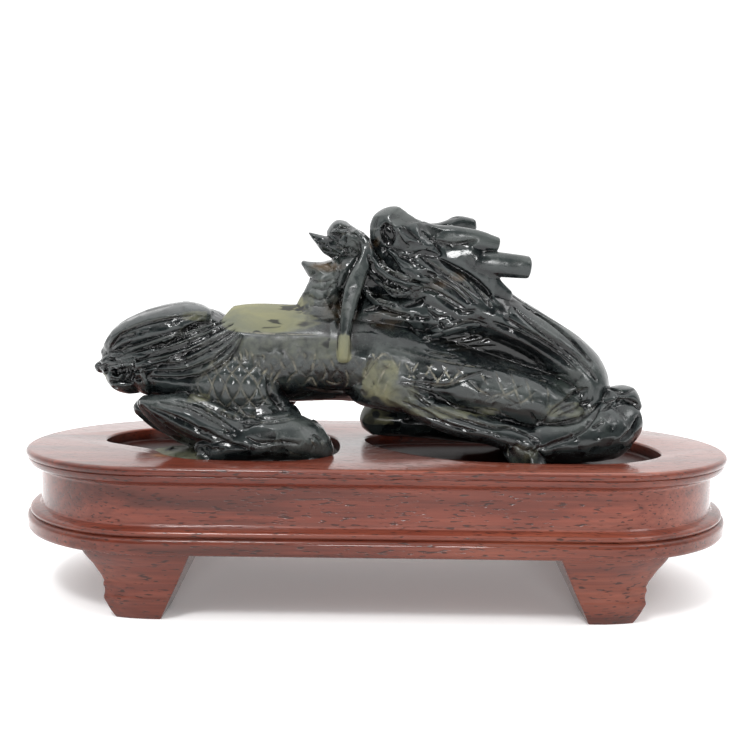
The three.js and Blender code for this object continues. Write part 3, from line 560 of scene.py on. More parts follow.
def pitCut(points, normals):  # a bowl that is flat in the middle third and gone at the rim
    near = smoothStep(0.15, 0.5, -normals[:, 1])
    cut = np.zeros(len(points))
    for x, z, hx, hz, depth in dragonPits:
        r = np.hypot((points[:, 0] - x) / hx, (points[:, 2] - z) / hz)
        cut = np.maximum(cut, depth * (1 - smoothStep(0.35, 1, r)))
    return cut * near


# Cross-hatched scales: two families of slanting lines inside soft ovals of
# [x, z, half x, half z, pitch, lean, share], with the diamonds between them swelling a little
dragonScales = {"ovals": [[-28.6, 43.9, 8.2, 6.6, 3.0, 0.62, 1.0], [-15, 47.2, 9, 5.0, 2.6, 0.7, 0.28],
                          [-2, 46.6, 5, 4.6, 2.5, 0.7, 0.25]],
                "halfWidth": 0.28, "depth": 0.3, "dust": 0.5, "swell": 0.3}


# The net, 1 on a line and 0 off it, and the swelling between the lines, both faded at each oval's edge
def scaleNet(points, normals):
    x, z = points[:, 0], points[:, 2]
    side = smoothStep(0.25, 0.6, np.abs(normals[:, 1]))
    worn = 0.62 + 0.38 * np.sin(1.1 * x + 0.7 * z) * np.sin(0.8 * z - 0.45 * x + 1)
    net = np.zeros(len(points))
    dome = np.zeros(len(points))
    for cx, cz, hx, hz, pitch, lean, share in dragonScales["ovals"]:
        inside = share * (1 - smoothStep(0.75, 1.05, np.hypot((x - cx) / hx, (z - cz) / hz)))
        swell = inside.copy()
        for slope in (lean, -lean):
            bend = 0.3 * np.sin(0.9 * z + 3 * slope) + 0.2 * np.sin(0.6 * x)
            u = (x + slope * (z - cz) + bend) / pitch
            gap = np.abs(u - np.round(u))
            away = gap * pitch / math.hypot(1, slope)
            net = np.maximum(net, inside * np.clip(1 - away / dragonScales["halfWidth"], 0, 1))
            swell *= np.sqrt(2 * gap)
        dome = np.maximum(dome, swell)
    return net * side * worn, dome * side


dragonEye = {"place": (1.6, 74.5), "half": (1.55, 2.35), "lean": 0.16, "socket": 1.0, "ball": 0.85,
             "ballHalf": (1.1, 1.85), "pupil": (1.0, 73.6), "pupilSize": 0.55, "pupilDepth": 0.35}


# How deep the oval socket with its domed ball and pupil is cut, and where painted shade darkens the socket
def eyeShape(points, normals):
    x = points[:, 0] - dragonEye["place"][0] + dragonEye["lean"] * (points[:, 2] - dragonEye["place"][1])
    z = points[:, 2] - dragonEye["place"][1]
    rim = np.hypot(x / dragonEye["half"][0], z / dragonEye["half"][1])
    dome = np.hypot((x - 0.15) / dragonEye["ballHalf"][0], z / dragonEye["ballHalf"][1])
    pit = np.hypot(points[:, 0] - dragonEye["pupil"][0],
                   points[:, 2] - dragonEye["pupil"][1]) / dragonEye["pupilSize"]
    side = smoothStep(0.3, 0.6, np.abs(normals[:, 1])) * (np.abs(points[:, 1] - midY) > 4)
    socket = dragonEye["socket"] * (1 - smoothStep(0.78, 1.05, rim))
    ball = dragonEye["ball"] * np.sqrt(np.clip(1 - dome ** 2, 0, 1))
    cut = socket - ball + dragonEye["pupilDepth"] * np.exp(-pit ** 2)
    return side * cut, side * (1 - smoothStep(0.85, 1.1, rim))


softEgg = (2, 0.55, 1.25)

# Veins, wear with a painted sheen in places, dirt, and painted shade with some real dark spots:
# eggs of [x, y, z, half x, half y, half z, share], whose corners are filled out by the first number
# and whose edge fades between the next two
dragonPatches = {
    "pale": (4, 0.85, 1.1, [
        [-23.6, -6, 58.5, 8.4, 20, 4.1, 1.25], [-14.4, -6, 56.4, 2.6, 12, 1.9, 0.5],
        [-6.8, -18, 51.6, 1.5, 4, 2.8, 1.1], [0.5, -15, 45.4, 4, 8, 4.4, 0.48],
        [4.6, -16, 42.4, 4, 8, 2.6, 0.42], [15, -20, 39.4, 10, 3.4, 1.2, 0.45],
        [-39, -14, 29, 9, 9, 2.4, 0.55], [-37.5, -10, 57.6, 3, 6, 1.2, 0.4], [0, 4, 36, 4, 8, 2.6, 0.5],
        [-57, -9, 44, 1.5, 4, 1.6, 0.5], [-14.6, -8, 60, 1.6, 6, 2.6, 0.42],
        [29, -20, 30.8, 3, 3, 3, 0.3], [-35.4, -20, 41.6, 2.4, 4, 0.9, 0.45],
        [-17, -12, 51.6, 13, 9, 2.6, 0.34], [38, -19, 40, 5, 4, 1.6, 0.4]]),
    # Worn: wear, with a painted sheen on the brow top, beard edge and nostril
    "worn": (*softEgg, [
        [-16, -14, 51, 16, 9, 6, 0.5], [-5.4, -15, 62, 3.4, 4, 11, 0.7], [3, -12, 79, 6, 10, 3.4, 0.6],
        [20, -12, 74.6, 12, 6, 2.4, 0.5], [27, -13, 70, 6, 5, 2, 0.5], [-16, -20, 34, 8, 5, 5, 0.6],
        [38, -19, 39, 7, 5, 4, 0.6], [42, -13, 47, 4, 6, 4, 0.5], [-5.2, -12, 73.4, 2, 3, 2.6, 0.6],
        [36, -12, 56, 8, 6, 3, 0.4], [1, -17, 47, 8, 5, 7, 0.6], [-12, -10, 63, 5, 7, 7, 0.7],
        [-30, -18, 43, 8, 5, 4, 0.25], [-42, -20, 40.6, 6, 4, 1.6, 0.5], [24, -20, 43, 9, 5, 4, 0.4]]),
    "brown": (*softEgg, [
        [-0.9, -13.6, 72.6, 1.3, 2.4, 1.2, 1.0], [-10.5, -9, 68.2, 4, 5, 1.3, 0.9],
        [16, -15.4, 66.2, 2, 2, 1, 0.6], [-8, -12, 59, 4, 5, 4, 0.35], [12, -16, 64.6, 2, 3, 1, 0.4],
        [2, -15, 57.4, 4, 4, 2, 0.35]]),
    # Painted shade in the neck hollow, under the belly and under the paw, and real dark spots on the back
    "paintedShadeAndSpots": (2, 0.5, 1.2, [[27, -12, 52, 13, 5, 3.6, 0.3], [-10, -14, 42.6, 12, 8, 1.8, 0.2],
                            [44, -4, 30, 12, 12, 3, 0.2], [-21.2, -15, 56.7, 0.9, 7, 0.8, 0.5],
                            [-15.5, -15, 56.3, 1.0, 7, 0.9, 0.5], [-19, -10, 59.4, 1.2, 9, 0.5, 0.5],
                            [-22.6, -16, 55.1, 0.8, 6, 0.5, 0.4]]),
}


# The share at each point: full inside the egg |x|^n + |y|^n + |z|^n = 1 of the half sizes,
# none past its fade
def patchShare(points, fill, inner, outer, eggs):
    share = np.zeros(len(points))
    for x, y, z, hx, hy, hz, full in eggs:
        r = (np.abs((points - (x, y, z)) / (hx, hy, hz)) ** fill).sum(1) ** (1 / fill)
        share = np.maximum(share, full * (1 - smoothStep(inner, outer, r)))
    return share


# How far each point lies under its smoothed surroundings, in mm
def recessDepth(mesh, points, normals, rounds=14):
    edges = np.empty(len(mesh.edges) * 2, np.int32)
    mesh.edges.foreach_get("vertices", edges)
    ends = np.concatenate([edges[0::2], edges[1::2]])
    others = np.concatenate([edges[1::2], edges[0::2]])
    count = np.maximum(np.bincount(ends, minlength=len(points)), 1)[:, None]
    calm = points.copy()
    for step in range(rounds):
        total = np.stack([np.bincount(ends, calm[others, k], len(points)) for k in range(3)], 1)
        calm = 0.4 * calm + 0.6 * total / count
    return ((calm - points) * normals).sum(1)


def setShare(mesh, name, values):
    layer = mesh.attributes.new(name, "FLOAT", "POINT")
    layer.data.foreach_set("value", np.ascontiguousarray(values, np.float32))


dragonMesh = {"voxel": 0.2, "faceTarget": 194000, "floorZ": 27.4, "farDepth": 0.75, "farDust": 0.6,
              "farGroups": ("tailGrooves", "tailFine", "haunchEdge", "neckLines", "eyeGroove",
                            "cheekEdge", "browLines", "locks", "bandLines", "leafMarks", "maneSweep",
                            "tailScales", "spine", "shoulderLine", "shank", "foot", "armEdge", "paw",
                            "clawLines", "plateEdge", "cheekTop", "flankMarks")}

dragonFacets = {"count": 1500, "facing": 3.2, "share": 0.35, "seed": 5, "most": 0.5,
                "crisp": [[-18, -18, 34, 12, 8, 7, 0.85], [-11, -8, 62, 6, 10, 8, 0.9],
                          [5, -13, 73, 8, 8, 6, 0.7], [44, -14, 37, 12, 10, 9, 0.7],
                          [1, -15, 45, 9, 8, 8, 0.7], [-36, -18, 36, 12, 7, 7, 0.6],
                          [-8, -8, 73, 7, 9, 5, 0.85], [29, -20, 31, 5, 5, 4, 0.9],
                          [-33, -20, 31, 4, 5, 4, 0.9], [-39, -15, 29, 8, 8, 3, 0.9],
                          [3, 7, 34, 8, 8, 6, 0.9]],
                "calm": [[20, -12, 70, 12, 7, 8, 0.8], [-24, -6, 58, 10, 14, 5, 0.7],
                         [-5, -15, 60, 3, 5, 13, 0.5], [34, -12, 54, 12, 8, 7, 0.6]]}


# Chisel facets: the stone falls into patches by nearness in place and facing, and the pull is how far
# each point stands off the mean plane of its own patch
def facetPull(points, normals):
    rng = np.random.default_rng(dragonFacets["seed"])
    key = np.concatenate([points, dragonFacets["facing"] * normals], 1).astype(np.float32)
    heart = key[rng.choice(len(key), dragonFacets["count"], replace=False)]
    reach = (heart ** 2).sum(1) / 2
    patch = np.concatenate([np.argmax(part @ heart.T - reach, 1) for part in np.array_split(key, 120)])
    size = np.maximum(np.bincount(patch, minlength=len(heart)), 1)[:, None]
    middle = np.stack([np.bincount(patch, points[:, k], len(heart)) for k in range(3)], 1) / size
    facing = np.stack([np.bincount(patch, normals[:, k], len(heart)) for k in range(3)], 1)
    facing /= np.maximum(np.linalg.norm(facing, axis=1, keepdims=True), 1e-6)
    lift = ((points - middle[patch]) * facing[patch]).sum(1)
    lift = np.clip(lift, -dragonFacets["most"], dragonFacets["most"])
    share = np.maximum(dragonFacets["share"], patchShare(points, *softEgg, dragonFacets["crisp"]))
    share *= 1 - patchShare(points, *softEgg, dragonFacets["calm"])
    return facing[patch] * (lift * share)[:, None]


def buildDragon():
    solid = linkedObject("dragonRough", joinedSurfaces("dragonRough", dragonSurfaces()))
    fuse = solid.modifiers.new("fuse", "REMESH")
    fuse.mode = "VOXEL"
    fuse.voxel_size = dragonMesh["voxel"]
    cutter = linkedObject("hollowCut", joinedSurfaces("hollowCut", [limbSurface(dragonBody["hollow"])]))
    scoop = solid.modifiers.new("scoop", "BOOLEAN")
    scoop.operation = "DIFFERENCE"
    scoop.solver = "MANIFOLD"
    scoop.object = cutter
    ease = solid.modifiers.new("ease", "SMOOTH")
    ease.iterations = 2
    ease.factor = 0.5
    mesh = finishedMesh(solid, "dragonFused")
    bpy.data.objects.remove(cutter)
    print("dragon fused", len(mesh.polygons))
    points = vertexArray(mesh)
    normals = vertexArray(mesh, "normal")
    tree = BVHTree.FromPolygons(points.tolist(), [p.vertices[:] for p in mesh.polygons])
    strokes = []
    for name, (halfWidth, depth, dust, lean, lines) in dragonStrokes.items():
        strokes += [(strokeSamples(tree, line, -1), halfWidth, depth, dust, lean) for line in lines]
        if name in dragonMesh["farGroups"]:
            far, farDust = depth * dragonMesh["farDepth"], dragonMesh["farDust"]
            strokes += [(strokeSamples(tree, line, 1), halfWidth, far, farDust * dust,
                         lean) for line in lines]
    for halfWidth, depth, dust, lean, lines in dragonTopStrokes.values():
        strokes += [(strokeSamples(tree, line, 0), halfWidth, depth, dust, lean) for line in lines]
    strokes = [s for s in strokes if len(s[0]) > 2]
    net, dome = scaleNet(points, normals)
    sunk = dragonScales["depth"] * net
    for samples, halfWidth, depth, dust, lean in strokes:
        sunk = np.maximum(sunk, depth * strokeCut(points, samples, halfWidth, lean))
    sunk = np.maximum(sunk, pitCut(points, normals))
    sunk += eyeShape(points, normals)[0] - dragonScales["swell"] * dome
    points -= facetPull(points, normals) + normals * sunk[:, None]
    points[:, 2] = np.maximum(points[:, 2], dragonMesh["floorZ"])
    mesh.vertices.foreach_set("co", (points * mm).astype(np.float32).ravel())
    mesh.update()
    print("dragon carved", len(strokes), "strokes")
    obj = linkedObject("dragonDense", mesh)
    soften = obj.modifiers.new("soften", "SMOOTH")
    soften.iterations = 1
    soften.factor = 0.25
    thin = obj.modifiers.new("thin", "DECIMATE")
    thin.ratio = min(1, dragonMesh["faceTarget"] / (2 * len(mesh.polygons)))
    final = finishedMesh(obj, "dragonStone")
    final.polygons.foreach_set("use_smooth", np.ones(len(final.polygons), bool))
    points = vertexArray(final) / mm
    normals = vertexArray(final, "normal")
    dusty = dragonScales["dust"] * scaleNet(points, normals)[0]
    for samples, halfWidth, depth, dust, lean in strokes:
        if dust > 0:
            reach = max(halfWidth, depth)
            dusty = np.maximum(dusty, dust * np.clip(1.6 * strokeCut(points, samples, reach, 0) - 0.3,
                                                     0, 1))
    # Painted shade: the eye socket, the pits and the shade eggs are darkened; the eggs also hold real dark
    # spots
    dark = 0.4 * eyeShape(points, normals)[1] + 0.3 * np.minimum(pitCut(points, normals), 1)
    dark += patchShare(points, *dragonPatches["paintedShadeAndSpots"])
    setShare(final, "recessShade", recessDepth(final, points, normals) + dark)
    setShare(final, "dust", dusty)
    for name in ("pale", "worn", "brown"):
        setShare(final, name, patchShare(points, *dragonPatches[name]))
    dragon = linkedObject("dragonStone", final)
    print("dragon finished", len(final.polygons))
    return dragon


# The stand, in mm

standForm = {
    "halfLength": 75, "halfDepth": 33, "arcSteps": 73, "straightSteps": 40,
    # inset and height up the moulding
    "moulding": [[0.6, 13.6], [0.2, 13.8], [0, 14.3], [0, 15.9], [0.12, 16.35], [0.35, 16.65],
                 [0.7, 16.8], [0.95, 16.85], [0.85, 17.0], [0.68, 17.25], [0.65, 17.6], [0.85, 17.95],
                 [1.35, 18.25], [2.0, 18.45], [2.6, 18.6], [2.85, 18.9], [2.9, 19.4], [2.9, 26.0],
                 [2.75, 26.3], [2.2, 26.5], [1.5, 26.75], [0.95, 27.1], [0.6, 27.5], [0.4, 28.0],
                 [0.35, 28.45], [0.45, 28.6], [0.15, 28.8], [0, 29.2], [0.05, 29.6], [0.3, 29.95],
                 [0.7, 30.15], [1.2, 30.2]],
    "top": 30.2,
    # x and y round each pocket's rim
    "pockets": [[[-59.6, 1], [-57.6, -4.6], [-51.5, -9.2], [-45.8, -13.4], [-41.5, -19.6],
                 [-35.5, -23.4], [-24, -24.4], [-14.5, -23], [-9, -17], [-8, -6], [-10, 6], [-17, 13.2],
                 [-30, 15], [-44, 15.2], [-54, 14], [-58.8, 8]],
                [[-2.6, 4], [-1.4, -3], [3, -10.6], [9, -17], [17, -21.6], [30, -23.6], [44, -23.2],
                 [53, -19], [58.6, -12.6], [59.6, -4], [57, 6], [50, 12.6], [36, 15], [18, 15],
                 [4, 12.6], [-1, 8.6]]],
    "pocketFloor": 27.3, "pocketRim": 0.5, "pocketEase": 0.6, "pocketMargin": 4, "hollowReach": 4.2,
    "footHeight": 14,
    "footOgee": [[7.7, 0], [7.45, 0.25], [7.0, 0.8], [6.5, 1.5], [6.05, 2.2], [5.65, 2.9], [5.25, 3.5],
                 [5.0, 4.0], [5.02, 4.35], [5.15, 4.7], [5.25, 5.2], [5.25, 5.7], [5.15, 6.1],
                 [4.98, 6.4], [4.92, 6.8], [5.02, 7.15], [5.1, 7.4], [4.6, 8.4], [3.6, 9.7],
                 [2.7, 10.9], [1.6, 12], [0.8, 12.9], [0.3, 13.6], [0, 14.2], [0, 14.6]],
    # a foot's outer corner, and its inner slants from the ground to the top
    "footX": -55.9, "footShareX": 0.8, "footInnerX": (-40.9, -34.4),
    "footY": -32.4, "footShareY": 0.5, "footInnerY": (-19, -11),
}


def steppedRows(profile, pitch):  # the profile cut into short steps, corners kept
    rows = np.asarray(profile, float)
    run = np.concatenate([[0], np.cumsum(np.linalg.norm(np.diff(rows, axis=0), axis=1))])
    t = np.unique(np.concatenate([run, np.linspace(0, run[-1], int(run[-1] / pitch))]))
    return np.stack([np.interp(t, run, rows[:, k]) for k in range(2)], 1)


def cappedTube(rings):  # rings of one size, bottom to top, closed by a face at each end
    rows, cols = rings.shape[:2]
    base = np.arange(cols)
    return rings.reshape(-1, 3), [tubeFaces(rows, cols), base[None, ::-1], base[None] + (rows - 1) * cols]


# The moulding: each profile row is carried round an oval of two straights and two half circles
def mouldingSurface():
    reach = standForm["halfLength"] - standForm["halfDepth"]
    arc = np.linspace(-math.pi / 2, math.pi / 2, standForm["arcSteps"])
    straight = np.linspace(-1, 1, standForm["straightSteps"] + 2)[1:-1]
    right, level = np.full(len(straight), math.pi / 2), np.ones(len(arc))
    angle = np.concatenate([-right, arc, right, arc + math.pi])
    middle = reach * np.concatenate([straight, level, -straight, -level])
    rows = steppedRows(standForm["moulding"], 0.35)
    radius = standForm["halfDepth"] - rows[:, :1]
    x = middle + radius * np.cos(angle)
    y = radius * np.sin(angle)
    z = np.repeat(rows[:, 1:], len(angle), 1)
    return cappedTube(np.stack([x, y, z], -1))


# A foot: level sections with an outer face on the oval and two straight slanting inner faces,
# the corners eased by a running mean round each section
def footSurface(signX, signY):
    form = standForm
    rows = steppedRows(form["footOgee"], 0.3)
    inset, z = rows[:, :1], rows[:, 1:]
    rise = z / form["footHeight"]
    left = form["footX"] + form["footShareX"] * inset
    right = form["footInnerX"][0] + rise * (form["footInnerX"][1] - form["footInnerX"][0])
    back = form["footInnerY"][0] + rise * (form["footInnerY"][1] - form["footInnerY"][0])
    radius = -form["footY"] - form["footShareY"] * inset
    reach = form["halfLength"] - form["halfDepth"]

    def front(x):
        return -np.sqrt(radius ** 2 - np.minimum(x + reach, 0) ** 2)

    t = np.linspace(0, 1, 44, endpoint=False)
    s = np.linspace(0, 1, 34, endpoint=False)
    frontX = left + t * (right - left)
    rightY = front(right) + s * (back - front(right))
    backX = right + t * (left - right)
    leftY = back + s * (front(left) - back)
    x = np.concatenate([frontX, right + 0 * s, backX, left + 0 * s], 1)
    y = np.concatenate([front(frontX), rightY, back + 0 * t, leftY], 1)
    weights = np.array([0.25, 0.5, 0.25])
    x = sum(w * np.roll(x, k - 1, 1) for k, w in enumerate(weights))
    y = sum(w * np.roll(y, k - 1, 1) for k, w in enumerate(weights))
    points, faces = cappedTube(np.stack([-signX * x, -signY * y, np.repeat(z, x.shape[1], 1)], -1))
    if signX * signY < 0:
        faces = [f[:, ::-1] for f in faces]
    return points, faces


# A pocket cutter: a closed smooth outline, an eased floor edge and a flare that rounds the rim;
# each row moves the outline along its own level normal
def pocketSurface(corners):
    rim, floor, top = standForm["pocketRim"], standForm["pocketFloor"], standForm["top"]
    ease = standForm["pocketEase"]
    bend = np.linspace(0, math.pi / 2, 7)
    grow = np.concatenate([-ease * (1 - np.sin(bend)), rim * (1 - np.cos(bend)), [rim + 0.3]])
    z = np.concatenate([floor + ease * (1 - np.cos(bend)), top - rim + rim * np.sin(bend), [top + 1]])
    loop = np.asarray(corners, float)
    loop = np.vstack([loop[-2:], loop, loop[:3]])
    share = np.linspace(2, len(loop) - 3, 240, endpoint=False) / (len(loop) - 1)
    outline = throughStations(loop, share)
    step = np.roll(outline, -1, 0) - np.roll(outline, 1, 0)
    normal = np.stack([step[:, 1], -step[:, 0]], 1) / np.linalg.norm(step, axis=1, keepdims=True)
    flat = outline[None] + normal[None] * grow[:, None, None]
    return cappedTube(np.concatenate([flat, np.repeat(z[:, None, None], len(outline), 1)], 2))


def buildStand():
    def solid(name, surface):
        return linkedObject(name, meshFromArrays(name, surface[0] * mm, surface[1]))

    stand = solid("standBlock", mouldingSurface())
    others = [(solid("foot", footSurface(sx, sy)), "UNION") for sx in (-1, 1) for sy in (-1, 1)]
    others += [(solid("pocket", pocketSurface(rim)), "DIFFERENCE") for rim in standForm["pockets"]]
    for other, act in others:
        cut = stand.modifiers.new(act, "BOOLEAN")
        cut.operation = act
        cut.solver = "MANIFOLD"
        cut.object = other
    mesh = finishedMesh(stand, "woodenStand")
    for other, _ in others:
        old = other.data
        bpy.data.objects.remove(other)
        bpy.data.meshes.remove(old)
    mesh.polygons.foreach_set("use_smooth", np.ones(len(mesh.polygons), bool))
    mesh.set_sharp_from_angle(angle=math.radians(34))
    points = vertexArray(mesh) / mm
    aside = np.maximum(np.abs(points[:, 0]) - standForm["halfLength"] + standForm["halfDepth"], 0)
    below = standForm["top"] - points[:, 2]
    inside = np.hypot(aside, points[:, 1]) < standForm["halfDepth"] - standForm["pocketMargin"]
    # The hollow share marks the pockets' walls and floor, where painted shade is laid
    setShare(mesh, "hollow", inside * smoothStep(0.3, 1.2, below) * (below < standForm["hollowReach"]))
    stand = linkedObject("woodenStand", mesh)
    print("stand finished", len(mesh.polygons))
    return stand


# Materials

def newMaterial(name):
    material = bpy.data.materials.new(name)
    material.use_nodes = True
    return material, material.node_tree, material.node_tree.nodes["Principled BSDF"]


# A value is set on its socket, a socket is linked to it
def addNode(tree, kind, inputs=None, **settings):
    node = tree.nodes.new("ShaderNode" + kind)
    for key, value in settings.items():
        setattr(node, key, value)
    for key, value in (inputs or {}).items():
        if isinstance(value, bpy.types.NodeSocket):
            tree.links.new(value, node.inputs[key])
        else:
            node.inputs[key].default_value = value
    return node


def stretchedNoise(tree, where, stretch, scale, detail=3.0, rough=0.55, warp=0.0):
    place = addNode(tree, "Mapping", {"Vector": where, "Scale": stretch})
    return addNode(tree, "TexNoise", {"Vector": place.outputs["Vector"], "Scale": scale, "Detail": detail,
                                      "Roughness": rough, "Distortion": warp}).outputs["Fac"]


def rampMask(tree, value, low, high):  # 0 below low, 1 above high
    return addNode(tree, "MapRange", {"Value": value, "From Min": low, "From Max": high},
                   interpolation_type="SMOOTHSTEP").outputs["Result"]


def mixColour(tree, share, first, second, blend="MIX"):
    node = addNode(tree, "Mix", data_type="RGBA", blend_type=blend)
    for key, value in ((0, share), (6, first), (7, second)):
        if isinstance(value, bpy.types.NodeSocket):
            tree.links.new(value, node.inputs[key])
        else:
            node.inputs[key].default_value = value
    return node.outputs[2]


def mathNode(tree, act, first, second):
    return addNode(tree, "Math", {0: first, 1: second}, operation=act).outputs[0]


def colourRamp(tree, value, stops):
    ramp = addNode(tree, "ValToRGB", {"Fac": value})
    while len(ramp.color_ramp.elements) < len(stops):
        ramp.color_ramp.elements.new(0.5)
    for element, (place, colour) in zip(ramp.color_ramp.elements, stops):
        element.position = place
        element.color = (*colour, 1)
    return ramp.outputs["Color"]


def grainGroup():  # stretched noise cut to a mask: 0 below low, 1 above high, times the share
    group = bpy.data.node_groups.new("grainMask", "ShaderNodeTree")
    for name, kind in (("Vector", "Vector"), ("Stretch", "Vector"), ("Scale", "Float"),
                       ("Detail", "Float"), ("Low", "Float"), ("High", "Float"), ("Share", "Float")):
        group.interface.new_socket(name=name, in_out="INPUT", socket_type="NodeSocket" + kind)
    group.interface.new_socket(name="Mask", in_out="OUTPUT", socket_type="NodeSocketFloat")
    given = group.nodes.new("NodeGroupInput").outputs
    place = addNode(group, "Mapping", {"Vector": given["Vector"], "Scale": given["Stretch"]})
    noise = addNode(group, "TexNoise", {"Vector": place.outputs["Vector"], "Scale": given["Scale"],
                                        "Detail": given["Detail"]}).outputs["Fac"]
    mask = mathNode(group, "MULTIPLY", rampMask(group, noise, given["Low"], given["High"]),
                    given["Share"])
    group.links.new(mask, group.nodes.new("NodeGroupOutput").inputs["Mask"])
    return group


def grainMask(tree, where, stretch, scale, detail, low, high, share):
    return addNode(tree, "Group", {"Vector": where, "Stretch": stretch, "Scale": scale,
                                   "Detail": detail, "Low": low, "High": high, "Share": share},
                   node_tree=grain).outputs["Mask"]


grain = grainGroup()

# Colours: recess is painted shade for hollows, ridge is wear with a painted highlight, worn is wear with a
# painted sheen in places
stoneFinish = {"black": (0.0020, 0.0030, 0.0036), "grey": (0.0062, 0.0082, 0.0090),
               "green": (0.020, 0.026, 0.023), "ridgeWearAndSheen": (0.026, 0.032, 0.032),
               "worn": (0.056, 0.065, 0.060), "recessShade": (0.0012, 0.0014, 0.0016),
               "pale": (0.190, 0.182, 0.088), "paleGrey": (0.098, 0.104, 0.074),
               "dust": (0.24, 0.225, 0.17), "brown": (0.062, 0.038, 0.018), "roughness": 0.15,
               "ior": 1.46, "matt": 0.42, "cloudScale": 85, "fleckScale": 900, "edgeScale": 260,
               "spotScale": 260, "chipScale": 460, "bump": 0.2, "bumpDepth": 0.0003}


def stoneMaterial():
    material, tree, shader = newMaterial("darkStone")
    even = (1, 1, 1)
    where = addNode(tree, "TexCoord").outputs["Object"]
    cloud = stretchedNoise(tree, where, even, stoneFinish["cloudScale"], 6, 0.6, 0.6)
    fleck = stretchedNoise(tree, where, even, stoneFinish["fleckScale"], 3, 0.6)
    edge = stretchedNoise(tree, where, even, stoneFinish["edgeScale"], 5, 0.65)
    spots = addNode(tree, "TexVoronoi", {"Vector": where, "Scale": stoneFinish["spotScale"]})
    chips = addNode(tree, "TexVoronoi",
                    {"Vector": where, "Scale": stoneFinish["chipScale"]}).outputs["Distance"]
    pale, worn, dust, brown, recessShade = [addNode(tree, "Attribute", attribute_name=name).outputs["Fac"]
                                       for name in ("pale", "worn", "dust", "brown", "recessShade")]
    base = colourRamp(tree, cloud, [(0.36, stoneFinish["black"]), (0.54, stoneFinish["grey"]),
                                    (0.74, stoneFinish["green"])])
    base = mixColour(tree, grainMask(tree, where, even, stoneFinish["fleckScale"], 3, 0.56, 0.75, 1),
                     base, (*stoneFinish["green"], 1))
    # Ridges that stand over their surroundings are lightened: wear and a painted highlight
    base = mixColour(tree, mathNode(tree, "MULTIPLY", rampMask(tree, recessShade, -0.03, -0.2), 0.8), base,
                     (*stoneFinish["ridgeWearAndSheen"], 1))
    # Worn patches go lighter grey: wear, and in places a painted sheen
    wornAndSheenMask = mathNode(tree, "MULTIPLY", worn, rampMask(tree, edge, 0.3, 0.62))
    base = mixColour(tree, wornAndSheenMask, base, (*stoneFinish["worn"], 1))
    ragged = mathNode(tree, "ADD", pale, mathNode(tree, "MULTIPLY", mathNode(tree, "SUBTRACT", edge, 0.5),
                                                  0.7))
    veinTone = colourRamp(tree, cloud, [(0.3, stoneFinish["paleGrey"]), (0.65, stoneFinish["pale"])])
    some = addNode(tree, "SeparateColor", {"Color": spots.outputs["Color"]}).outputs["Red"]
    spotSize = mathNode(tree, "ADD", spots.outputs["Distance"], mathNode(tree, "MULTIPLY", edge, 0.5))
    spotMask = mathNode(tree, "MULTIPLY", rampMask(tree, spotSize, 0.60, 0.50),
                        rampMask(tree, some, 0.55, 0.62))
    veinTone = mixColour(tree, spotMask, veinTone, (*stoneFinish["grey"], 1))
    base = mixColour(tree, rampMask(tree, ragged, 0.2, 0.85), base, veinTone)
    # Painted shade: recesses and the marked shade places go nearly black
    recessShadeMask = rampMask(tree, recessShade, 0.02, 0.2)
    base = mixColour(tree, mathNode(tree, "MULTIPLY", recessShadeMask, 0.88), base, (*stoneFinish["recessShade"], 1))
    base = mixColour(tree, mathNode(tree, "MULTIPLY", brown, rampMask(tree, edge, 0.35, 0.6)), base,
                     (*stoneFinish["brown"], 1))
    base = mixColour(tree, mathNode(tree, "MULTIPLY", dust, rampMask(tree, fleck, 0.30, 0.55)), base,
                     (*stoneFinish["dust"], 1))
    tree.links.new(base, shader.inputs["Base Color"])
    matt = mathNode(tree, "ADD", mathNode(tree, "ADD", dust, pale), wornAndSheenMask)
    rough = mathNode(tree, "ADD", mathNode(tree, "MULTIPLY", fleck, 0.16),
                     stoneFinish["roughness"] - 0.08)
    rough = mathNode(tree, "ADD", rough, mathNode(tree, "MULTIPLY", matt, stoneFinish["matt"]))
    tree.links.new(rough, shader.inputs["Roughness"])
    shader.inputs["IOR"].default_value = stoneFinish["ior"]
    height = mathNode(tree, "ADD", edge, mathNode(tree, "MULTIPLY", chips, 0.8))
    bump = addNode(tree, "Bump", {"Strength": stoneFinish["bump"], "Distance": stoneFinish["bumpDepth"],
                                  "Height": height})
    tree.links.new(bump.outputs["Normal"], shader.inputs["Normal"])
    return material


# Colours: nose is painted shade on the top flange, hollow is painted shade in the pockets
woodFinish = {"dark": (0.080, 0.014, 0.007), "middle": (0.185, 0.041, 0.023),
              "light": (0.28, 0.080, 0.048), "streak": (0.020, 0.007, 0.005), "low": (0.66, 0.60, 0.56),
              "noseShade": (0.62, 0.50, 0.46), "hollow": (0.30, 0.27, 0.27), "stain": (0.42, 0.17, 0.05),
              "stainPlace": (-0.0425, -0.0199, 0.0302), "stainReach": 0.0032, "roughness": 0.4,
              "gloss": 0.15, "coat": 0.9, "coatIor": 1.32, "coatRoughness": 0.11, "hollowCoat": 0.75,
              "lowBand": (0.0190, 0.0165), "noseFoot": (0.0262, 0.0270), "noseTop": (0.0301, 0.0297),
              "toneScale": 95, "fibreScale": 1500, "streakScale": 260, "poreScale": 2800, "bump": 0.25,
              "bumpDepth": 0.0002}


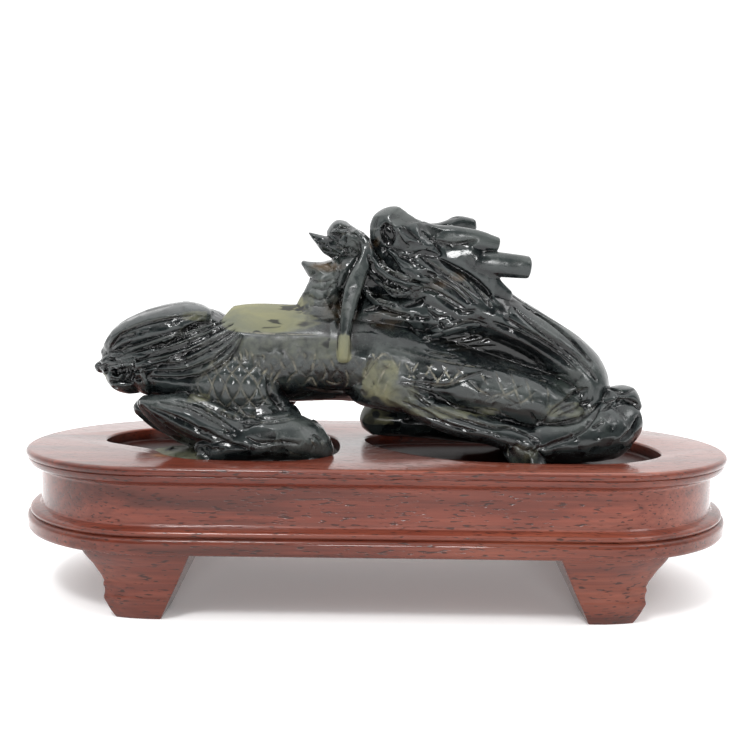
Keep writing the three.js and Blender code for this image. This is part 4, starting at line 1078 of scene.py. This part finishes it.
def woodMaterial():
    material, tree, shader = newMaterial("redWood")
    where = addNode(tree, "TexCoord").outputs["Object"]
    height = addNode(tree, "SeparateXYZ", {"Vector": where}).outputs["Z"]
    hollow = addNode(tree, "Attribute", attribute_name="hollow").outputs["Fac"]
    tone = stretchedNoise(tree, where, (0.10, 1, 1), woodFinish["toneScale"], 4, 0.6, 0.4)
    fibre = stretchedNoise(tree, where, (0.025, 1, 1), woodFinish["fibreScale"], 2)
    base = colourRamp(tree, tone, [(0.30, woodFinish["dark"]), (0.48, woodFinish["middle"]),
                                   (0.70, woodFinish["light"])])
    base = mixColour(tree, 0.55, base, colourRamp(tree, fibre, [(0.3, (0.35, 0.32, 0.32)),
                                                                (0.7, (1, 1, 1))]), "MULTIPLY")
    streakMask = grainMask(tree, where, (0.07, 1, 1), woodFinish["streakScale"], 3, 0.58, 0.72, 0.4)
    base = mixColour(tree, streakMask, base, (*woodFinish["streak"], 1))
    pores = grainMask(tree, where, (0.16, 1, 1), woodFinish["poreScale"], 1, 0.61, 0.69, 0.8)
    base = mixColour(tree, pores, base, (*woodFinish["streak"], 1))
    away = addNode(tree, "VectorMath", {0: where, 1: woodFinish["stainPlace"]},
                   operation="DISTANCE").outputs["Value"]
    stained = mathNode(tree, "MULTIPLY", rampMask(tree, away, woodFinish["stainReach"], 0.0005),
                       rampMask(tree, tone, 0.3, 0.5))
    base = mixColour(tree, stained, base, (*woodFinish["stain"], 1))
    base = mixColour(tree, rampMask(tree, height, *woodFinish["lowBand"]), base, (*woodFinish["low"], 1),
                     "MULTIPLY")
    # Painted shade: the top flange's nose and underside are darkened
    noseShade = mathNode(tree, "MULTIPLY", rampMask(tree, height, *woodFinish["noseFoot"]),
                    rampMask(tree, height, *woodFinish["noseTop"]))
    base = mixColour(tree, noseShade, base, (*woodFinish["noseShade"], 1), "MULTIPLY")
    # Painted shade: the pockets' walls and floor are darkened
    base = mixColour(tree, hollow, base, (*woodFinish["hollow"], 1), "MULTIPLY")
    tree.links.new(base, shader.inputs["Base Color"])
    shader.inputs["Roughness"].default_value = woodFinish["roughness"]
    shader.inputs["Specular IOR Level"].default_value = woodFinish["gloss"]
    coat = mathNode(tree, "SUBTRACT", woodFinish["coat"],
                    mathNode(tree, "MULTIPLY", hollow, woodFinish["hollowCoat"]))
    tree.links.new(coat, shader.inputs["Coat Weight"])
    shader.inputs["Coat IOR"].default_value = woodFinish["coatIor"]
    shader.inputs["Coat Roughness"].default_value = woodFinish["coatRoughness"]
    relief = mathNode(tree, "SUBTRACT", mathNode(tree, "MULTIPLY", fibre, 0.4), pores)
    bump = addNode(tree, "Bump", {"Strength": woodFinish["bump"], "Distance": woodFinish["bumpDepth"],
                                  "Height": relief})
    tree.links.new(bump.outputs["Normal"], shader.inputs["Normal"])
    tree.links.new(bump.outputs["Normal"], shader.inputs["Coat Normal"])
    return material


# Studio

view = {"place": (-0.094, -187.712, 61.388), "yaw": -0.00082, "pitch": -0.09116, "roll": -0.01287,
        "focalPx": 858.34, "framePx": 756}


def makeCamera():
    data = bpy.data.cameras.new("photoCamera")
    data.sensor_width = 36
    data.lens = data.sensor_width * view["focalPx"] / view["framePx"]
    data.clip_start = 0.005
    camera = bpy.data.objects.new("photoCamera", data)
    turn = (Matrix.Rotation(view["yaw"], 4, "Z") @ Matrix.Rotation(view["pitch"], 4, "X")
            @ Matrix.Rotation(view["roll"], 4, "Y") @ Matrix.Rotation(math.pi / 2, 4, "X"))
    camera.matrix_world = Matrix.Translation([v * mm for v in view["place"]]) @ turn
    bpy.context.scene.collection.objects.link(camera)
    bpy.context.scene.camera = camera


def makeLight(name, place, aim, size, power):
    data = bpy.data.lights.new(name, "AREA")
    data.shape = "RECTANGLE"
    data.size, data.size_y = size
    data.energy = power
    lamp = bpy.data.objects.new(name, data)
    lamp.rotation_euler = (Vector(place) - Vector(aim)).to_track_quat("Z", "Y").to_euler()
    lamp.location = place
    bpy.context.scene.collection.objects.link(lamp)


studio = {"front": 0.03, "horizon": 1.2, "zenith": 1.7, "shown": 1.05, "floor": 0.96, "floorGlow": 0.13,
          "lights": {"key": ((-0.14, -0.34, 0.52), (0, 0, 0.04), (0.13, 0.09), 1.5),
                     "fill": ((0.40, -0.22, 0.42), (0, 0, 0.04), (0.16, 0.16), 0.45),
                     "front": ((0.03, -0.9, 0.20), (0, 0, 0.03), (0.20, 0.10), 2.4)}}


def makeStudio():
    bpy.context.scene.view_settings.view_transform = "Standard"
    world = bpy.data.worlds.new("softRoom")
    bpy.context.scene.world = world
    world.use_nodes = True
    tree = world.node_tree
    ray = addNode(tree, "TexCoord").outputs["Generated"]
    parts = addNode(tree, "SeparateXYZ", {"Vector": ray})
    slope = mathNode(tree, "ADD", mathNode(tree, "MULTIPLY", parts.outputs["Y"], 0.8), parts.outputs["Z"])
    around = addNode(tree, "MapRange", {"Value": slope, "From Min": -0.3, "From Max": 0.5,
                                        "To Min": studio["front"], "To Max": studio["horizon"]},
                     interpolation_type="SMOOTHSTEP").outputs["Result"]
    above = addNode(tree, "MapRange", {"Value": parts.outputs["Z"], "From Min": 0.35, "From Max": 0.95,
                                       "To Min": 1, "To Max": studio["zenith"]},
                    interpolation_type="SMOOTHSTEP").outputs["Result"]
    seen = mathNode(tree, "MULTIPLY", addNode(tree, "LightPath").outputs["Is Camera Ray"],
                    studio["shown"])
    glow = mathNode(tree, "MAXIMUM", mathNode(tree, "MULTIPLY", around, above), seen)
    tree.links.new(glow, tree.nodes["Background"].inputs["Color"])
    reach = 6
    floorMesh = bpy.data.meshes.new("floor")
    floorMesh.from_pydata([(-reach, -reach, 0), (reach, -reach, 0), (reach, reach, 0), (-reach, reach, 0)],
                          [], [(0, 1, 2, 3)])
    floor = linkedObject("floor", floorMesh)
    paper, _, shader = newMaterial("paperWhite")
    shader.inputs["Base Color"].default_value = (*[studio["floor"]] * 3, 1)
    shader.inputs["Roughness"].default_value = 0.9
    shader.inputs["Specular IOR Level"].default_value = 0.1
    # The floor glows evenly, a painted light that lightens the shadows on it
    shader.inputs["Emission Color"].default_value = (1, 1, 1, 1)
    shader.inputs["Emission Strength"].default_value = studio["floorGlow"]
    floor.data.materials.append(paper)
    for name, settings in studio["lights"].items():
        makeLight(name, *settings)


makeCamera()
makeStudio()
dragon = buildDragon()
dragon.data.materials.append(stoneMaterial())
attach(dragon, "root")
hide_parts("dragon")
stand = buildStand()
stand.data.materials.append(woodMaterial())
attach(stand, "root")
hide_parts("stand")
